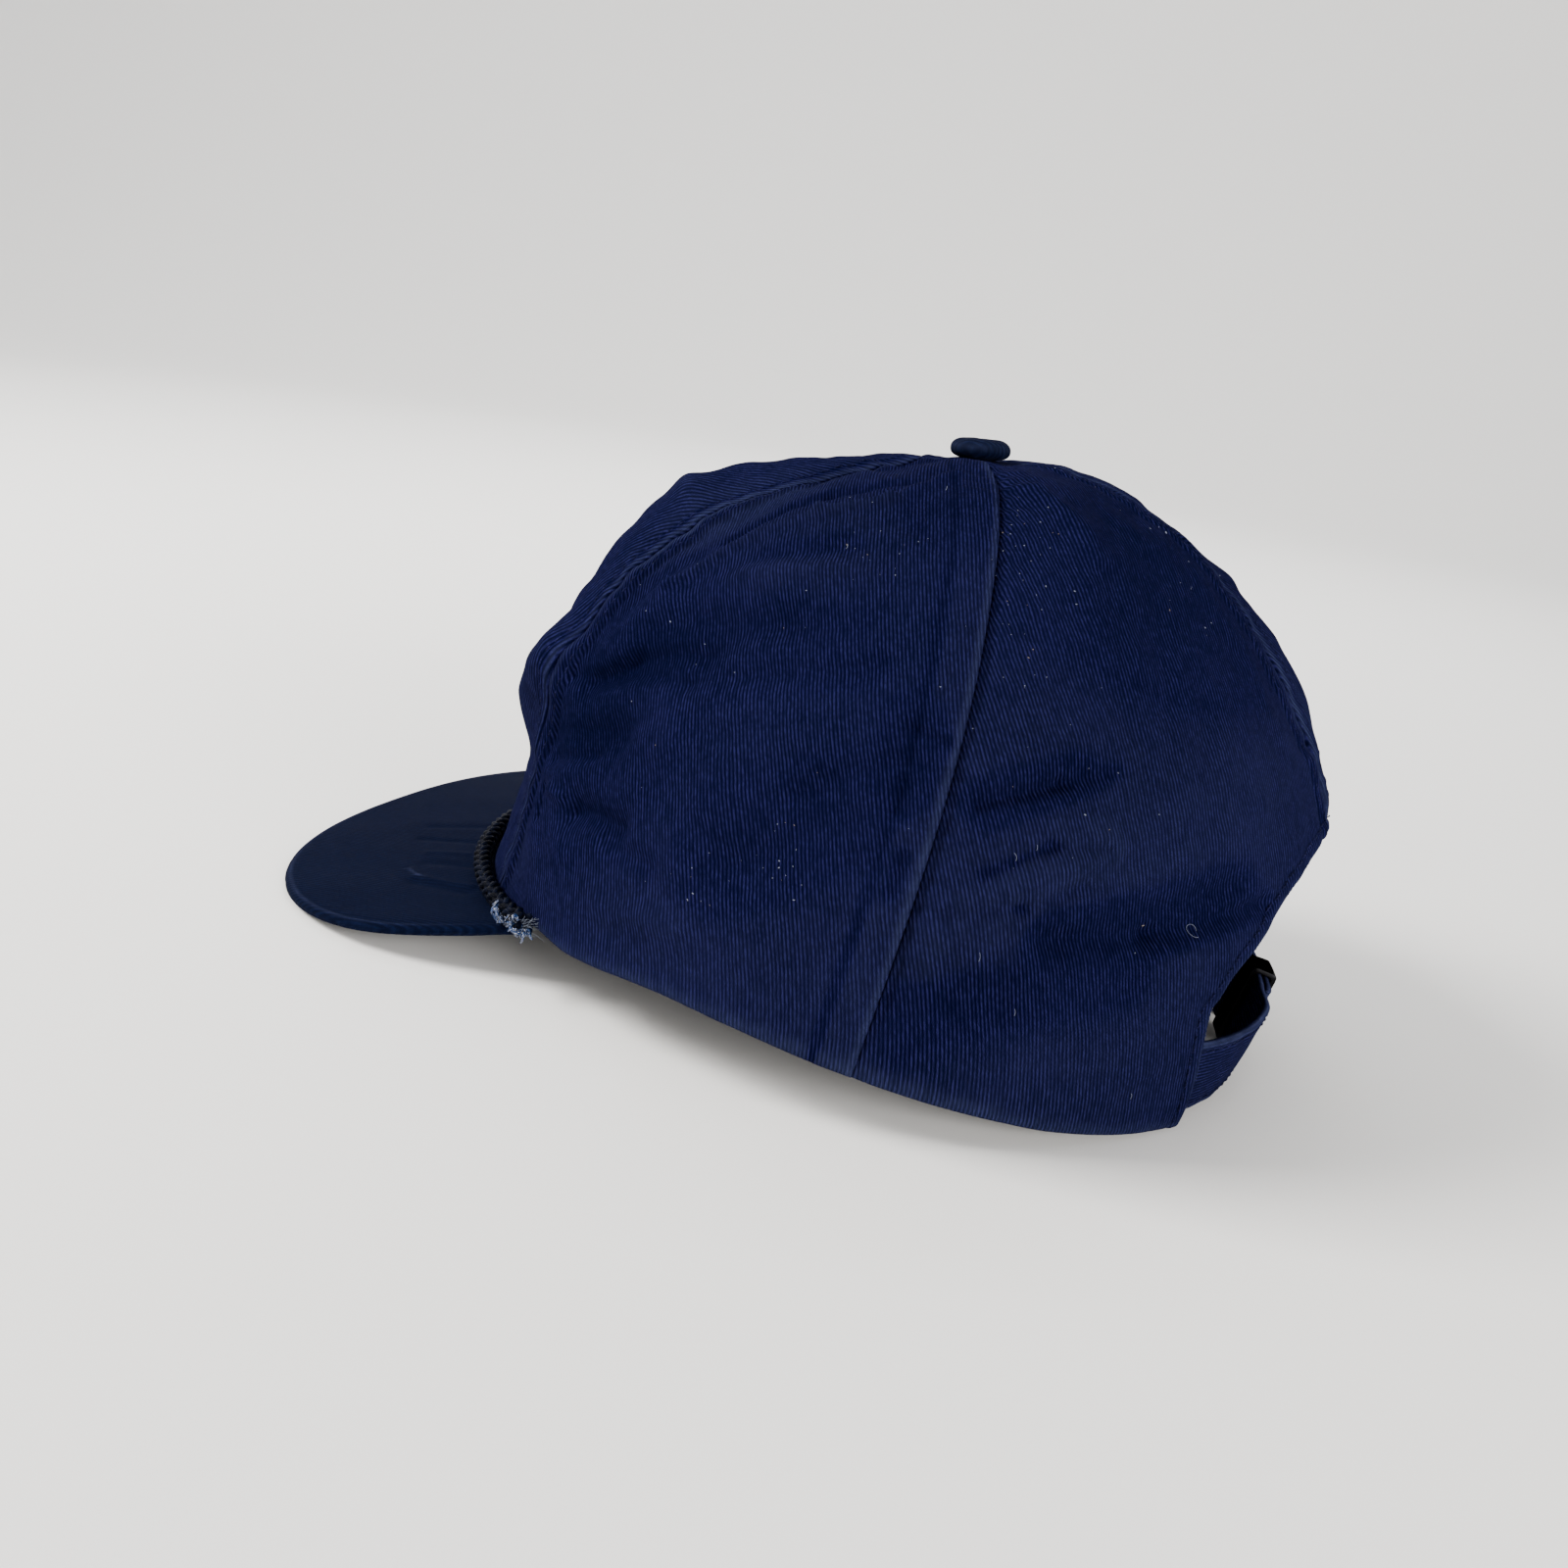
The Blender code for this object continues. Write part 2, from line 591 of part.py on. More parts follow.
def build():
    for old in list(bpy.data.objects):
        bpy.data.objects.remove(old, do_unlink=True)
    cotton = new_material("crown_cotton", NAVY_COTTON, 0.9)
    peak_cotton = new_material("peak_cotton", PEAK_COTTON, 0.85)
    rope_yarn = new_material("rope_yarn", ROPE_NAVY, 0.5)
    slide_metal = new_material("slide_metal", SLIDE_METAL, 0.35, 1)
    holder = bpy.data.objects.new("cap_rest", None)
    bpy.context.scene.collection.objects.link(holder)
    full_panel("front_panel", -FRONT_SEAM, FRONT_SEAM, FRONT_COLUMNS, cotton, holder)
    full_panel("side_panel_left", FRONT_SEAM, MID_SEAM, SIDE_COLUMNS, cotton, holder)
    full_panel("side_panel_right", -MID_SEAM, -FRONT_SEAM, SIDE_COLUMNS, cotton, holder)
    back_panel("back_panel_left", 1, cotton, holder)
    back_panel("back_panel_right", -1, cotton, holder)
    add_peak(peak_cotton, holder)
    add_rope(rope_yarn, holder)
    add_button(cotton, holder)
    add_straps(cotton, holder)
    add_slide(slide_metal, holder)
    lay_down(holder, [piece for piece in bpy.data.objects if piece.parent])


build()
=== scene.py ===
"""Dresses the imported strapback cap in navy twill, with its seams, stitches, rope and strap.

The wearer faces -Y, the wearer's left is +X and +Z is up. Lengths are in metres. The
crown's shape repeats part.py, in the crown's own frame, and laid() then lays it down
as the CAD model lies. On the crown, azimuth 0 is the front, pi / 2 the wearer's left
and pi the back, and share runs up a meridian from 0 at the lower edge to 1 at the top.
"""

import itertools
import math
from collections import namedtuple

import bmesh
import bpy
import numpy as np
from mathutils import Matrix, Vector
from mathutils.kdtree import KDTree


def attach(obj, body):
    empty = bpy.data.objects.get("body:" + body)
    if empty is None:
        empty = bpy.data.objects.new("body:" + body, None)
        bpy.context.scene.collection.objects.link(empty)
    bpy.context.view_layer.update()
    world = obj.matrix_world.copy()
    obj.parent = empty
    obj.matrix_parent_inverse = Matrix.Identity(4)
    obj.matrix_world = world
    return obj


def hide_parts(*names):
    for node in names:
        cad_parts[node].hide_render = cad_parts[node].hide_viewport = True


# Camera and light
VIEW_AZIMUTH = math.radians(112.61)
VIEW_ELEVATION = math.radians(17.42)
VIEW_ROLL = math.radians(-8.75)
CAMERA_AT = (0.3390, 0.1372, 0.1561)
SENSOR_MM = 36
LENS_MM = 33.33
SEEN_FROM = 0.01
SEEN_TO = 50
FLOOR_RINGS = [0.02, 0.3, 0.8]
FLOOR_RADIUS = 1.6
FLOOR_SIDES = 96
SWEEP_RADIUS = 1.4
SWEEP_STEPS = 14
WALL_HEIGHT = 1.2

# How part.py lays the cap down
REST_TILT = math.radians(8.908)
REST_AT = np.array([0, 0.02501, 0.01386])

# Crown
CROWN_LENGTH = 0.200
CROWN_WIDTH = 0.1776
CROWN_HEIGHT = 0.118
CLOTH = 0.0015
SEAM_CENTRE_AHEAD = 0.0106
TOP_LEAN = math.radians(12.5)
TOP_LEAN_FROM = 0.5
TOP_HOLE_RADIUS = 0.0025
FRONT_SEAM = math.radians(43)
MID_SEAM = math.radians(116)
SEAM_GAP = 0.0003
SEAM_DIP = 0.0007
SEAM_DIP_REACH = 0.0035
SEAM_DIP_UNTIL = 0.9
LEVEL_RIM = 0.06

# Opening at the back
ARCH_HEIGHT = 0.0665
ARCH_WIDTH = 0.084
ARCH_FOOT_WIDTH = 0.070
ARCH_SHOULDER = 0.032
ARCH_FULLNESS = 1.3
ARCH_CURVE = 0.7 * ARCH_WIDTH

# Peak
PEAK_LENGTH = 0.050
PEAK_HALF_WIDTH = 0.0890
PEAK_THICKNESS = 0.003
PEAK_CORNER = math.radians(58)
PEAK_SLOPE = math.radians(18.2)
PEAK_BOW = 0.0071
PEAK_SQUARENESS = 0.71
PEAK_CORNER_TURN = 8
FRONT_DROP = 0.0175
CORNER_BLEND = math.radians(11)

# Rope, button and strap
ROPE_DIAMETER = 0.0050
ROPE_PAST_CORNER = math.radians(3)
BUTTON_DIAMETER = 0.0142
BUTTON_HEIGHT = 0.0048
STRAP_WIDTH = 0.019
STRAP_THICKNESS = 0.0015
STRAP_LIFT = 0.003
STRAP_SEWN = 0.014
STRAP_OVERLAP = 0.022
STRAP_FREE_AFTER = 0.012
SLIDE_LENGTH = 0.009
SLIDE_WALL = 0.0010
SLIDE_ROOM = 0.0005
SLIDE_OFF_CENTRE = 0.022
SLIDE_SIDES = 64
SLIDE_ROUND_OUT = 0.25
SLIDE_ROUND_UP = 0.12
SLIDE_SHARP = math.radians(50)
SLIDE_SHAPE = ((-1, 0.6), (-0.94, 1), (0, 1), (0.94, 1), (1, 0.6))
STRAP_DEPTH = CLOTH + SEAM_GAP

# Sections up the crown: low and high are how far a meridian swells a third and two
# thirds of the way up, as shares of its radius; lift raises the lower edge, as a
# share of the crown's height.
Meridian = namedtuple("Meridian", "azimuth roundness low high lift")
MERIDIANS = (
    Meridian(0, 2.25, -0.01, 0.03, 0),
    Meridian(25, 2.55, -0.05, 0.08, 0),
    Meridian(45, 1.90, -0.04, 0.18, -0.060),
    Meridian(65, 2.30, -0.01, 0.02, -0.053),
    Meridian(90, 2.45, 0, 0.01, 0.015),
    Meridian(118, 2.78, 0, 0.025, 0.025),
    Meridian(150, 2.50, 0, 0.02, 0.005),
    Meridian(180, 2.42, 0.02, 0.065, 0.005),
)

# Folds and dents: each runs along the crown between two points. The azimuths are in
# degrees, the shares go up the meridian, and reach (half its width) and depth
# (outward) are shares of the crown's height.
Fold = namedtuple("Fold", "azimuth share end_azimuth end_share reach depth")
FOLDS = (
    Fold(59, 0.39, 82, 0.46, 0.042, -0.012),
    Fold(52, 0.32, 73, 0.37, 0.042, -0.017),
    Fold(57, 0.46, 84, 0.54, 0.060, 0.010),
    Fold(47, 0.24, 64, 0.24, 0.045, -0.017),
    Fold(60, 0.14, 71, 0.14, 0.030, -0.015),
    Fold(91, 0.15, 103, 0.22, 0.075, -0.012),
    Fold(110, 0.37, 111, 0.28, 0.040, -0.010),
    Fold(121, 0.29, 132, 0.37, 0.035, -0.012),
    Fold(119, 0.12, 137, 0.30, 0.040, 0.015),
    Fold(134, 0.17, 156, 0.27, 0.042, -0.021),
    Fold(120, 0.05, 144, 0.15, 0.050, -0.008),
    Fold(129, 0.90, 144, 0.72, 0.040, 0.010),
    Fold(44, 0.59, 60, 0.78, 0.040, 0.012),
    Fold(29, 0.18, 39, 0.31, 0.056, 0.050),
    Fold(20, 0.42, 30, 0.35, 0.045, -0.014),
    Fold(14, 0.55, 31, 0.58, 0.038, 0.016),
    Fold(172, 0.68, 172, 0.50, 0.040, 0.007),
    Fold(-50, 0.36, -76, 0.42, 0.045, -0.014),
    Fold(-58, 0.17, -74, 0.15, 0.040, -0.012),
    Fold(-88, 0.20, -104, 0.30, 0.070, -0.012),
    Fold(-121, 0.14, -139, 0.30, 0.045, 0.013),
    Fold(-134, 0.16, -156, 0.24, 0.042, -0.017),
    Fold(-44, 0.58, -61, 0.76, 0.040, 0.012),
    Fold(-31, 0.18, -38, 0.30, 0.060, 0.035),
    Fold(-36, 0.45, -38, 0.58, 0.065, 0.020),
    Fold(-171, 0.67, -173, 0.52, 0.060, 0.029),
    Fold(-165, 0.93, -125, 0.90, 0.050, 0.011),
)

# How fine the scene's own surfaces are: the panels nearest the camera, the others, the
# peak and the strap. A wall's inner side takes one point in INNER_SHARE of its outer
# side, each way, and both are finer within EDGE_NEAR of an edge.
SIDE_STEP = 0.00052
FAR_STEP = 0.00072
PEAK_STEP = 0.00056
STRAP_STEP = 0.6 * FAR_STEP
INNER_SHARE = 4
EDGE_NEAR = 0.002
EVERY_FEW = slice(None, None, INNER_SHARE)
FEW = (EVERY_FEW, EVERY_FEW)

# Rolled edges, welts beside the seams, hem, stitches and puckers
EDGE_ROLL = CLOTH / 2
SEAM_ROLL = 0.0008
SEAM_CLOSED = 0.0001
WELT_FALL = 0.0014
WELTS_UNTIL = 0.88
WELTS_END = 0.98
HEM = 0.0032
HEM_RISE = 0.0003
GROOVE = 0.0004
GROOVE_REACH = 0.0006
PUCKER = 0.00030
PUCKER_REACH = 0.008
PUCKER_LENGTH = 0.0065
PUCKER_STRETCH = 0.3
STITCH = 0.0026
STITCH_SHAPE = np.array([0.45, 1, 1.1, 1, 0.45])
STITCH_GAP = 0.0007
STITCH_SIDES = 6
THREAD_RADIUS = 0.00014
SEAM_STITCHED = (0.02, 0.90)
SEAM_STEPS = 420
STITCHED_ABOVE_ARCH = 0.03
FIBRE_RADIUS = 0.00004

# Unevenness of the cloth: heights and lengths of its humps, by size, and the share of
# them that the lower edge keeps
UNEVEN = ((0.00045, 0.034), (0.00026, 0.012), (0.00005, 0.0048))
RIM_UNEVEN = 0.25

# Worn spots and painted shade: faded where the amount is above 0, and painted shade where it is
# below. A seam is faded on its edge, and a band beside it less so; the mid seam's band ends in a
# line of painted shade. Fold valleys and the lines of stitches and seams get painted shade, and fold
# ridges are lighter, worn and painted highlight.
ALL_WORN = 0.02
EDGE_WORN = 0.32
EDGE_WEAR = 0.0010
SEAM_WORN_AT = 0.0008
SEAM_WEAR = 0.0008
BAND = 0.0088
BAND_WORN = 0.12
BAND_SHADE = 0.6
# Fold ridges are lighter, worn and painted highlight; fold valleys, stitch lines and seam lines get
# painted shade
FOLD_TONE_HEIGHT = 0.0022
RIDGE_WORN_AND_HIGHLIT = 0.07
VALLEY_SHADE = 0.48
STITCH_SHADE = 0.55
STITCH_DASHED = 0.15
SEAM_SHADE = 0.45
SEAM_SHADE_REACH = GROOVE_REACH / 1.4
INSIDE_WORN = 0.3

# Finish of the peak, its rolled edge and the groove beside it
PEAK_ROLL = 0.0014
PEAK_GROOVE = 0.00014
PEAK_GROOVE_IN = 0.0018
PEAK_GROOVE_FROM = 0.01
PEAK_SAG = 0.040
PEAK_LEVEL_RIM = 0.004
PEAK_UNEVEN = (0.00012, 0.034)
PEAK_UNDER_UNEVEN = (0.00015, 0.020)
PEAK_EDGE_LENGTH = 2.7 * PEAK_HALF_WIDTH
# The peak's rim is lighter, worn and painted highlight, and less so underneath
PEAK_RIM_WORN_AND_HIGHLIT = 0.30
PEAK_RIM = 0.0011
PEAK_WEAR = 0.0006
PEAK_UNDER_WORN = 0.2
# Painted shade on the peak's cover near the crown and the rope, and how far it reaches
PEAK_SHADE_BY_CROWN = 0.5
PEAK_SHADE_REACH = 0.022
CREASE_WORN_AT = 0.0005
CREASE_WORN = 0.75

# Finish of the strap and the button; pleats are a depth, a number round the button and
# where they start
STRAP_STITCH = 0.0018
STRAP_GROOVE = 0.00022
STRAP_UNEVEN = (0.00012, 0.009)
STRAP_WORN = 0.08
STRAP_EDGE_WORN = 0.7
BUTTON_SIDES = 120
BUTTON_ROWS = 39
BUTTON_ROUND_OUT = 0.5
BUTTON_ROUND_UP = 0.85
BUTTON_UNEVEN = (0.00010, 0.006)
BUTTON_WORN_AT = 0.62 * BUTTON_HEIGHT
BUTTON_WEAR = 0.0009
BUTTON_WORN = 0.2
PLEATS = ((0.00016, 11, 1.0), (0.00010, 17, 0.0))
PLEATED_UP_TO = 0.35

# Braid of the rope and its frayed end; pairs are ranges, for lengths in metres, for angles
# in radians
ROPE_STEPS = 560
ROPE_STRANDS = 4
ROPE_PITCH = 0.0152
STRAND_RADIUS = 0.00080
STRAND_CROSSING = 0.00032
STRAND_LIFTED = (-0.0001, 0.0006)
STRAND_TURNED = (-0.5, 0.5)
STRAND_SIDES = 8
CORE_SIDES = 12
CORE_RADIUS = ROPE_DIAMETER / 2 - STRAND_RADIUS - STRAND_CROSSING
FRAY_LENGTH = 0.013
FRAY_LOOPS = 44
FRAY_TILT = (-2.2, 0.7)
FRAY_SIZE = (0.0007, 0.0015)
FRAY_BEND = (2.2, 4.0)
FRAY_LEAN = 0.5
FRAY_RADIUS = 0.00042
FRAY_STEPS = 20
FRAY_HAIRS = 30
HAIRS_SPREAD = 0.0010
HAIR_LENGTH = (0.0012, 0.0030)
HAIR_BEND = 0.35 / 0.004

# Seams, on both sides of the crown: rise is how far the cloth lies out beside the
# seam, reach how wide that welt is, and stitch how far off a stitch line runs.
# Before is towards the front.
Seam = namedtuple(
    "Seam", "azimuth rise_before reach_before stitch_before rise_after reach_after stitch_after"
)
SEAMS = (
    Seam(FRONT_SEAM, 0.0015, 0.0044, 0.0028, 0.0015, 0.0044, 0.0028),
    Seam(MID_SEAM, 0.0007, 0.0088, 0, -0.0006, 0.0026, 0),
    Seam(math.pi, 0.0011, 0.0048, 0.0034, 0, 0, 0),
)

# Smaller folds than the CAD model's, in the same terms.
FINE_FOLDS = (
    Fold(46, 0.32, 58, 0.345, 0.018, -0.009),
    Fold(58, 0.345, 72, 0.375, 0.026, -0.008),
    Fold(70, 0.40, 92, 0.47, 0.040, -0.009),
    Fold(51, 0.32, 72, 0.33, 0.018, -0.007),
    Fold(72, 0.33, 100, 0.42, 0.030, -0.008),
    Fold(49, 0.21, 60, 0.21, 0.016, -0.009),
    Fold(60, 0.135, 72, 0.135, 0.014, -0.006),
    Fold(69, 0.12, 80, 0.11, 0.016, -0.006),
    Fold(98, 0.24, 110, 0.32, 0.030, -0.009),
    Fold(109, 0.36, 114, 0.35, 0.016, -0.012),
    Fold(111, 0.29, 111, 0.25, 0.014, -0.009),
    Fold(113, 0.20, 113, 0.16, 0.014, -0.009),
    Fold(120, 0.29, 130, 0.35, 0.015, -0.012),
    Fold(130, 0.35, 137, 0.39, 0.015, -0.006),
    Fold(123, 0.21, 130, 0.27, 0.014, -0.010),
    Fold(130, 0.27, 137, 0.29, 0.014, -0.008),
    Fold(120, 0.15, 128, 0.19, 0.015, -0.010),
    Fold(128, 0.19, 135, 0.24, 0.015, -0.006),
    Fold(132, 0.16, 146, 0.20, 0.022, -0.012),
    Fold(146, 0.20, 162, 0.26, 0.018, -0.015),
    Fold(128, 0.84, 139, 0.70, 0.020, 0.009),
    Fold(56, 0.46, 72, 0.65, 0.015, 0.012),
    Fold(47, 0.34, 52, 0.52, 0.030, -0.008),
    Fold(72, 0.65, 87, 0.72, 0.015, 0.016),
    Fold(87, 0.72, 98, 0.86, 0.015, 0.013),
    Fold(56, 0.56, 66, 0.70, 0.016, -0.012),
    Fold(66, 0.70, 84, 0.80, 0.016, -0.010),
    Fold(60, 0.47, 84, 0.60, 0.034, -0.008),
    Fold(70, 0.50, 92, 0.56, 0.030, 0.007),
    Fold(-50, 0.33, -72, 0.40, 0.016, -0.009),
    Fold(-60, 0.14, -74, 0.14, 0.016, -0.012),
    Fold(-122, 0.22, -136, 0.30, 0.016, -0.010),
    Fold(-132, 0.16, -158, 0.24, 0.020, -0.013),
    Fold(-72, 0.65, -90, 0.74, 0.014, 0.009),
    Fold(49, 0.17, 50, 0.13, 0.009, -0.009),
    Fold(52, 0.17, 56, 0.155, 0.011, 0.007),
    Fold(72, 0.05, 88, 0.06, 0.020, 0.006),
    Fold(177, 0.93, 177, 0.56, 0.040, -0.003),
    Fold(-173, 0.92, -171, 0.84, 0.050, 0.006),
    Fold(-172, 0.685, -173, 0.66, 0.050, -0.015),
    Fold(-175, 0.47, -178, 0.38, 0.040, 0.012),
)

# Lighter spots, and darker spots where the amount is below 0, by a spot's middle and
# how far it reaches. The darker spots are painted shade, where the crown faces away from the
# light on the upper back and high on the side, and in the side panels' dents.
Fade = namedtuple("Fade", "azimuth share turn rise amount")
LIGHTER_AND_SHADED_SPOTS = (
    Fade(138, 0.25, 26, 0.24, 0.12),
    Fade(165, 0.45, 14, 0.12, 0.08),
    Fade(95, 0.03, 34, 0.10, 0.06),
    Fade(48, 0.64, 14, 0.14, 0.12),
    Fade(156, 0.74, 26, 0.16, -0.60),
    Fade(-156, 0.74, 30, 0.16, -0.30),
    Fade(57, 0.34, 12, 0.10, -0.35),
    Fade(57, 0.24, 12, 0.12, -0.30),
    Fade(105, 0.80, 14, 0.10, -0.25),
    Fade(50, 0.08, 8, 0.05, 0.06),
    Fade(82, 0.66, 22, 0.10, 0.05),
    Fade(-138, 0.25, 26, 0.24, 0.12),
    Fade(-95, 0.30, 34, 0.20, 0.05),
    Fade(-48, 0.64, 14, 0.14, 0.10),
    Fade(0, 0.40, 24, 0.22, 0.05),
)

# Panels of the crown: the seams they reach between, on which side; how fine they are; how
# worn their edges are; the azimuth that the ribs line up with, and how much they lean
# forward, as a slope at the lower edge and its change over a metre.
Panel = namedtuple("Panel", "node first last side step worn_first worn_last grain lean change")
PANELS = (
    Panel("front_panel", -FRONT_SEAM, FRONT_SEAM, 1, FAR_STEP, 0.3, 0.3, 0, 0, 0),
    Panel("side_panel_left", FRONT_SEAM, MID_SEAM, 1, SIDE_STEP, 0.3, 0.32, 80, 0.56, 0),
    Panel("side_panel_right", FRONT_SEAM, MID_SEAM, -1, FAR_STEP, 0.3, 0.32, 80, 0.56, 0),
    Panel("back_panel_left", MID_SEAM, math.pi, 1, SIDE_STEP, 0.0, 0.25, 121, 0.60, -1.14),
    Panel("back_panel_right", MID_SEAM, math.pi, -1, FAR_STEP, 0.0, 0.5, 121, 0.60, -1.14),
)

# Creases of the peak: x and y are shares of its half width and its length, from the
# middle of the crown's front; reach and rise, which is upward, are in metres.
Crease = namedtuple("Crease", "x y end_x end_y reach rise")
CREASES = (
    Crease(0.605, 0.39, 0.635, 0.33, 0.0012, 0.0004),
    Crease(0.635, 0.33, 0.648, 0.24, 0.0012, 0.0005),
    Crease(0.648, 0.24, 0.652, 0.12, 0.0012, 0.0005),
    Crease(0.652, 0.12, 0.648, 0.00, 0.0012, 0.0004),
    Crease(0.67, 0.32, 0.685, 0.02, 0.0022, -0.0006),
    Crease(0.26, 0.47, 0.19, 0.12, 0.0018, -0.0003),
    Crease(0.37, 0.44, 0.33, 0.05, 0.0016, -0.0004),
    Crease(0.47, 0.33, 0.44, 0.10, 0.0014, 0.0003),
    Crease(0.54, 0.30, 0.52, 0.03, 0.0018, -0.0004),
)

# Lint: single curled fibres by their place on the crown, and specks in loose patches.
# Lift is how far they stand off the cloth.
Fibre = namedtuple("Fibre", "azimuth share length curl")
FIBRES = (
    Fibre(152, 0.22, 0.0056, 5.2),
    Fibre(125, 0.24, 0.0019, 1.3),
    Fibre(127, 0.26, 0.0013, 0.8),
    Fibre(124, 0.12, 0.0018, 0.8),
    Fibre(131, 0.08, 0.0012, 0.9),
    Fibre(150, 0.03, 0.0012, 1.2),
    Fibre(96, 0.80, 0.0024, 0.6),
    Fibre(84, 0.60, 0.0018, 1.0),
)
Patch = namedtuple("Patch", "azimuth share turn rise count")
PATCHES = (
    Patch(124, 0.72, 9, 0.16, 26),
    Patch(120, 0.52, 6, 0.12, 18),
    Patch(88, 0.12, 7, 0.06, 10),
    Patch(100, 0.62, 12, 0.16, 12),
    Patch(130, 0.30, 22, 0.20, 16),
    Patch(70, 0.45, 25, 0.30, 20),
    Patch(98, 0.16, 5, 0.05, 16),
    Patch(-90, 0.50, 60, 0.35, 30),
    Patch(0, 0.50, 35, 0.30, 18),
    Patch(165, 0.70, 14, 0.18, 16),
)
FIBRE_LIFT = 0.00022
FIBRE_WAVE = 0.00012
SPECK = 0.00014
SPECK_LIFT = 0.00008
SPECK_STRETCH = 2.4
SPECK_SHAPE = np.array([0.35, 0.55, 0.3])

# Twill, in metres and in shapes to a metre: ribs that wander and break, finer threads that
# lean across them, flecks, and larger clouds and patches where it fades
RIB_PITCH = 0.00092
RIB_WOBBLE = 5.0
RIB_WOBBLES = 55.0
RIB_BREAKS = 900.0
THREAD_PITCH = 0.42 * RIB_PITCH
THREAD_LEAN = 0.6
FLECKS = 1900.0
CLOUDS = 38.0
WORN_PATCHES = 260.0
SHEEN_TINT = (0.42, 0.48, 0.85, 1)
YARN_TWIST = 0.0009

# Finishes: a twill's depth of ribs, how much its ribs and flecks show, and its gloss; a
# yarn's roughness and gloss; a plain material's roughness, the share of its colour that
# its darker spots have, and the spots to a metre
CROWN_FINISH = (0.00034, 0.55, 0.80, 0.003)
PEAK_FINISH = (0.00008, 0.40, 0.55, 0.02)
THREAD_FINISH = (0.8, 0.04)
ROPE_FINISH = (0.5, 0.03)
FRAY_FINISH = (0.2, 1.0)
LINT_FINISH = (0.9, 0.55, 900.0)
FLOOR_FINISH = (0.75, 0.985, 3.0)

# Colours
NAVY = (0.0003, 0.0009, 0.0078, 1)
NAVY_PALE = (0.0104, 0.0107, 0.0515, 1)
# Worn colour, also used for the painted highlight on fold ridges and the peak's rim
NAVY_WORN_AND_HIGHLIT = (0.028, 0.034, 0.078, 1)
PEAK_NAVY = (0.0005, 0.0013, 0.0070, 1)
PEAK_PALE = (0.0022, 0.0045, 0.0190, 1)
ROPE_DARK = (0.0003, 0.0005, 0.0016, 1)
ROPE_PALE = (0.0012, 0.0028, 0.0120, 1)
FRAY_BLUE = (0.002, 0.007, 0.030, 1)
FRAY_PALE = (0.017, 0.048, 0.150, 1)
FUZZ_GREY = (0.13, 0.15, 0.20, 1)
LINT_PALE = (0.17, 0.19, 0.27, 1)
LINT_TAN = (0.16, 0.13, 0.11, 1)
THREAD_NAVY = (0.0016, 0.0024, 0.012, 1)
SLIDE_METAL = (0.008, 0.008, 0.009, 1)
FLOOR_PALE = (0.80, 0.79, 0.77, 1)
WORLD_PALE = (0.90, 0.93, 1.0, 1)

# Soft lights round the cap: azimuth and elevation in degrees, distance, size, power and
# colour; reach is how far past the cap a light aims, along its own azimuth.
WORLD_LIGHT = 0.42
Light = namedtuple("Light", "name azimuth elevation distance size watts colour reach")
LIGHTS = (
    Light("key", 28, 40, 1.3, 0.5, 38, (1.0, 0.98, 0.95), 0),
    Light("fill", 150, 14, 1.3, 0.7, 27, (1.0, 0.98, 0.96), 0),
    Light("top", 60, 80, 1.4, 1.0, 5, (1.0, 1.0, 1.0), 0),
    Light("wall", 293, 62, 1.5, 1.2, 48, (1.0, 1.0, 1.0), 2.6),
)

# Worked out from the above: half the crown, how far its back is from the seams' centre,
# and angles there: where the slide is, half of it, half the straps' overlap, and half the
# opening with the strap sewn in beside it
HALF_LENGTH = CROWN_LENGTH / 2
HALF_WIDTH = CROWN_WIDTH / 2
BACK_REACH = HALF_LENGTH + SEAM_CENTRE_AHEAD
SLIDE_AT = math.pi + SLIDE_OFF_CENTRE / BACK_REACH
SLIDE_TURN = SLIDE_LENGTH / 2 / BACK_REACH
OVERLAP_TURN = STRAP_OVERLAP / 2 / BACK_REACH
SEWN_TURN = (ARCH_FOOT_WIDTH / 2 + STRAP_SEWN) / BACK_REACH


def smooth_step(values):
    ramp = np.clip(values, 0, 1)
    return ramp * ramp * (3 - 2 * ramp)


def wrapped(azimuth):
    """The same azimuth, from -pi to pi."""
    return (azimuth + math.pi) % math.tau - math.pi


def hump(distance, reach):
    """1 at no distance, falling to about a third at the reach."""
    return np.exp(-((distance / reach) ** 2))


def unit(vectors):
    return vectors / np.linalg.norm(vectors, axis=-1, keepdims=True)


def grouped(*columns):
    """Columns as points or pairs, along a last axis of their own."""
    return np.stack(np.broadcast_arrays(*columns), axis=-1)


def powered(values, power):
    """Values to a power, each with its own sign."""
    return np.sign(values) * np.abs(values) ** power


def run_along(line):
    """How far along a line each of its points is."""
    return np.concatenate([[0], np.cumsum(np.linalg.norm(np.diff(line, axis=0), axis=1))])


def sampled(places, run, values):
    """Rows of values, given along a run, at other places along it."""
    return grouped(*[np.interp(places, run, column) for column in values.T])


def off_segment(x, y, run):
    """How far places are from a straight line that starts at 0 and has this run."""
    along = ((x * run[0] + y * run[1]) / (run @ run)).clip(0, 1)
    return np.hypot(x - along * run[0], y - along * run[1])


def tipped(points, angle):
    """Points or ways turned round the x axis, front up and back down by an angle."""
    x, y, z = np.moveaxis(points, -1, 0)
    cosine = math.cos(angle)
    sine = math.sin(angle)
    return grouped(x, y * cosine + z * sine, z * cosine - y * sine)


def table_columns():
    """The meridian table once round the crown, and a row past each end."""
    half = [(math.radians(row.azimuth), *row[1:]) for row in MERIDIANS]
    mirrored = [(-row[0], *row[1:]) for row in half[:0:-1]]
    once = np.array(mirrored + half)
    turn = np.array([math.tau, 0, 0, 0, 0])
    return np.vstack([once[-3:-1] - turn, once, once[1:3] + turn])


TABLE = table_columns()


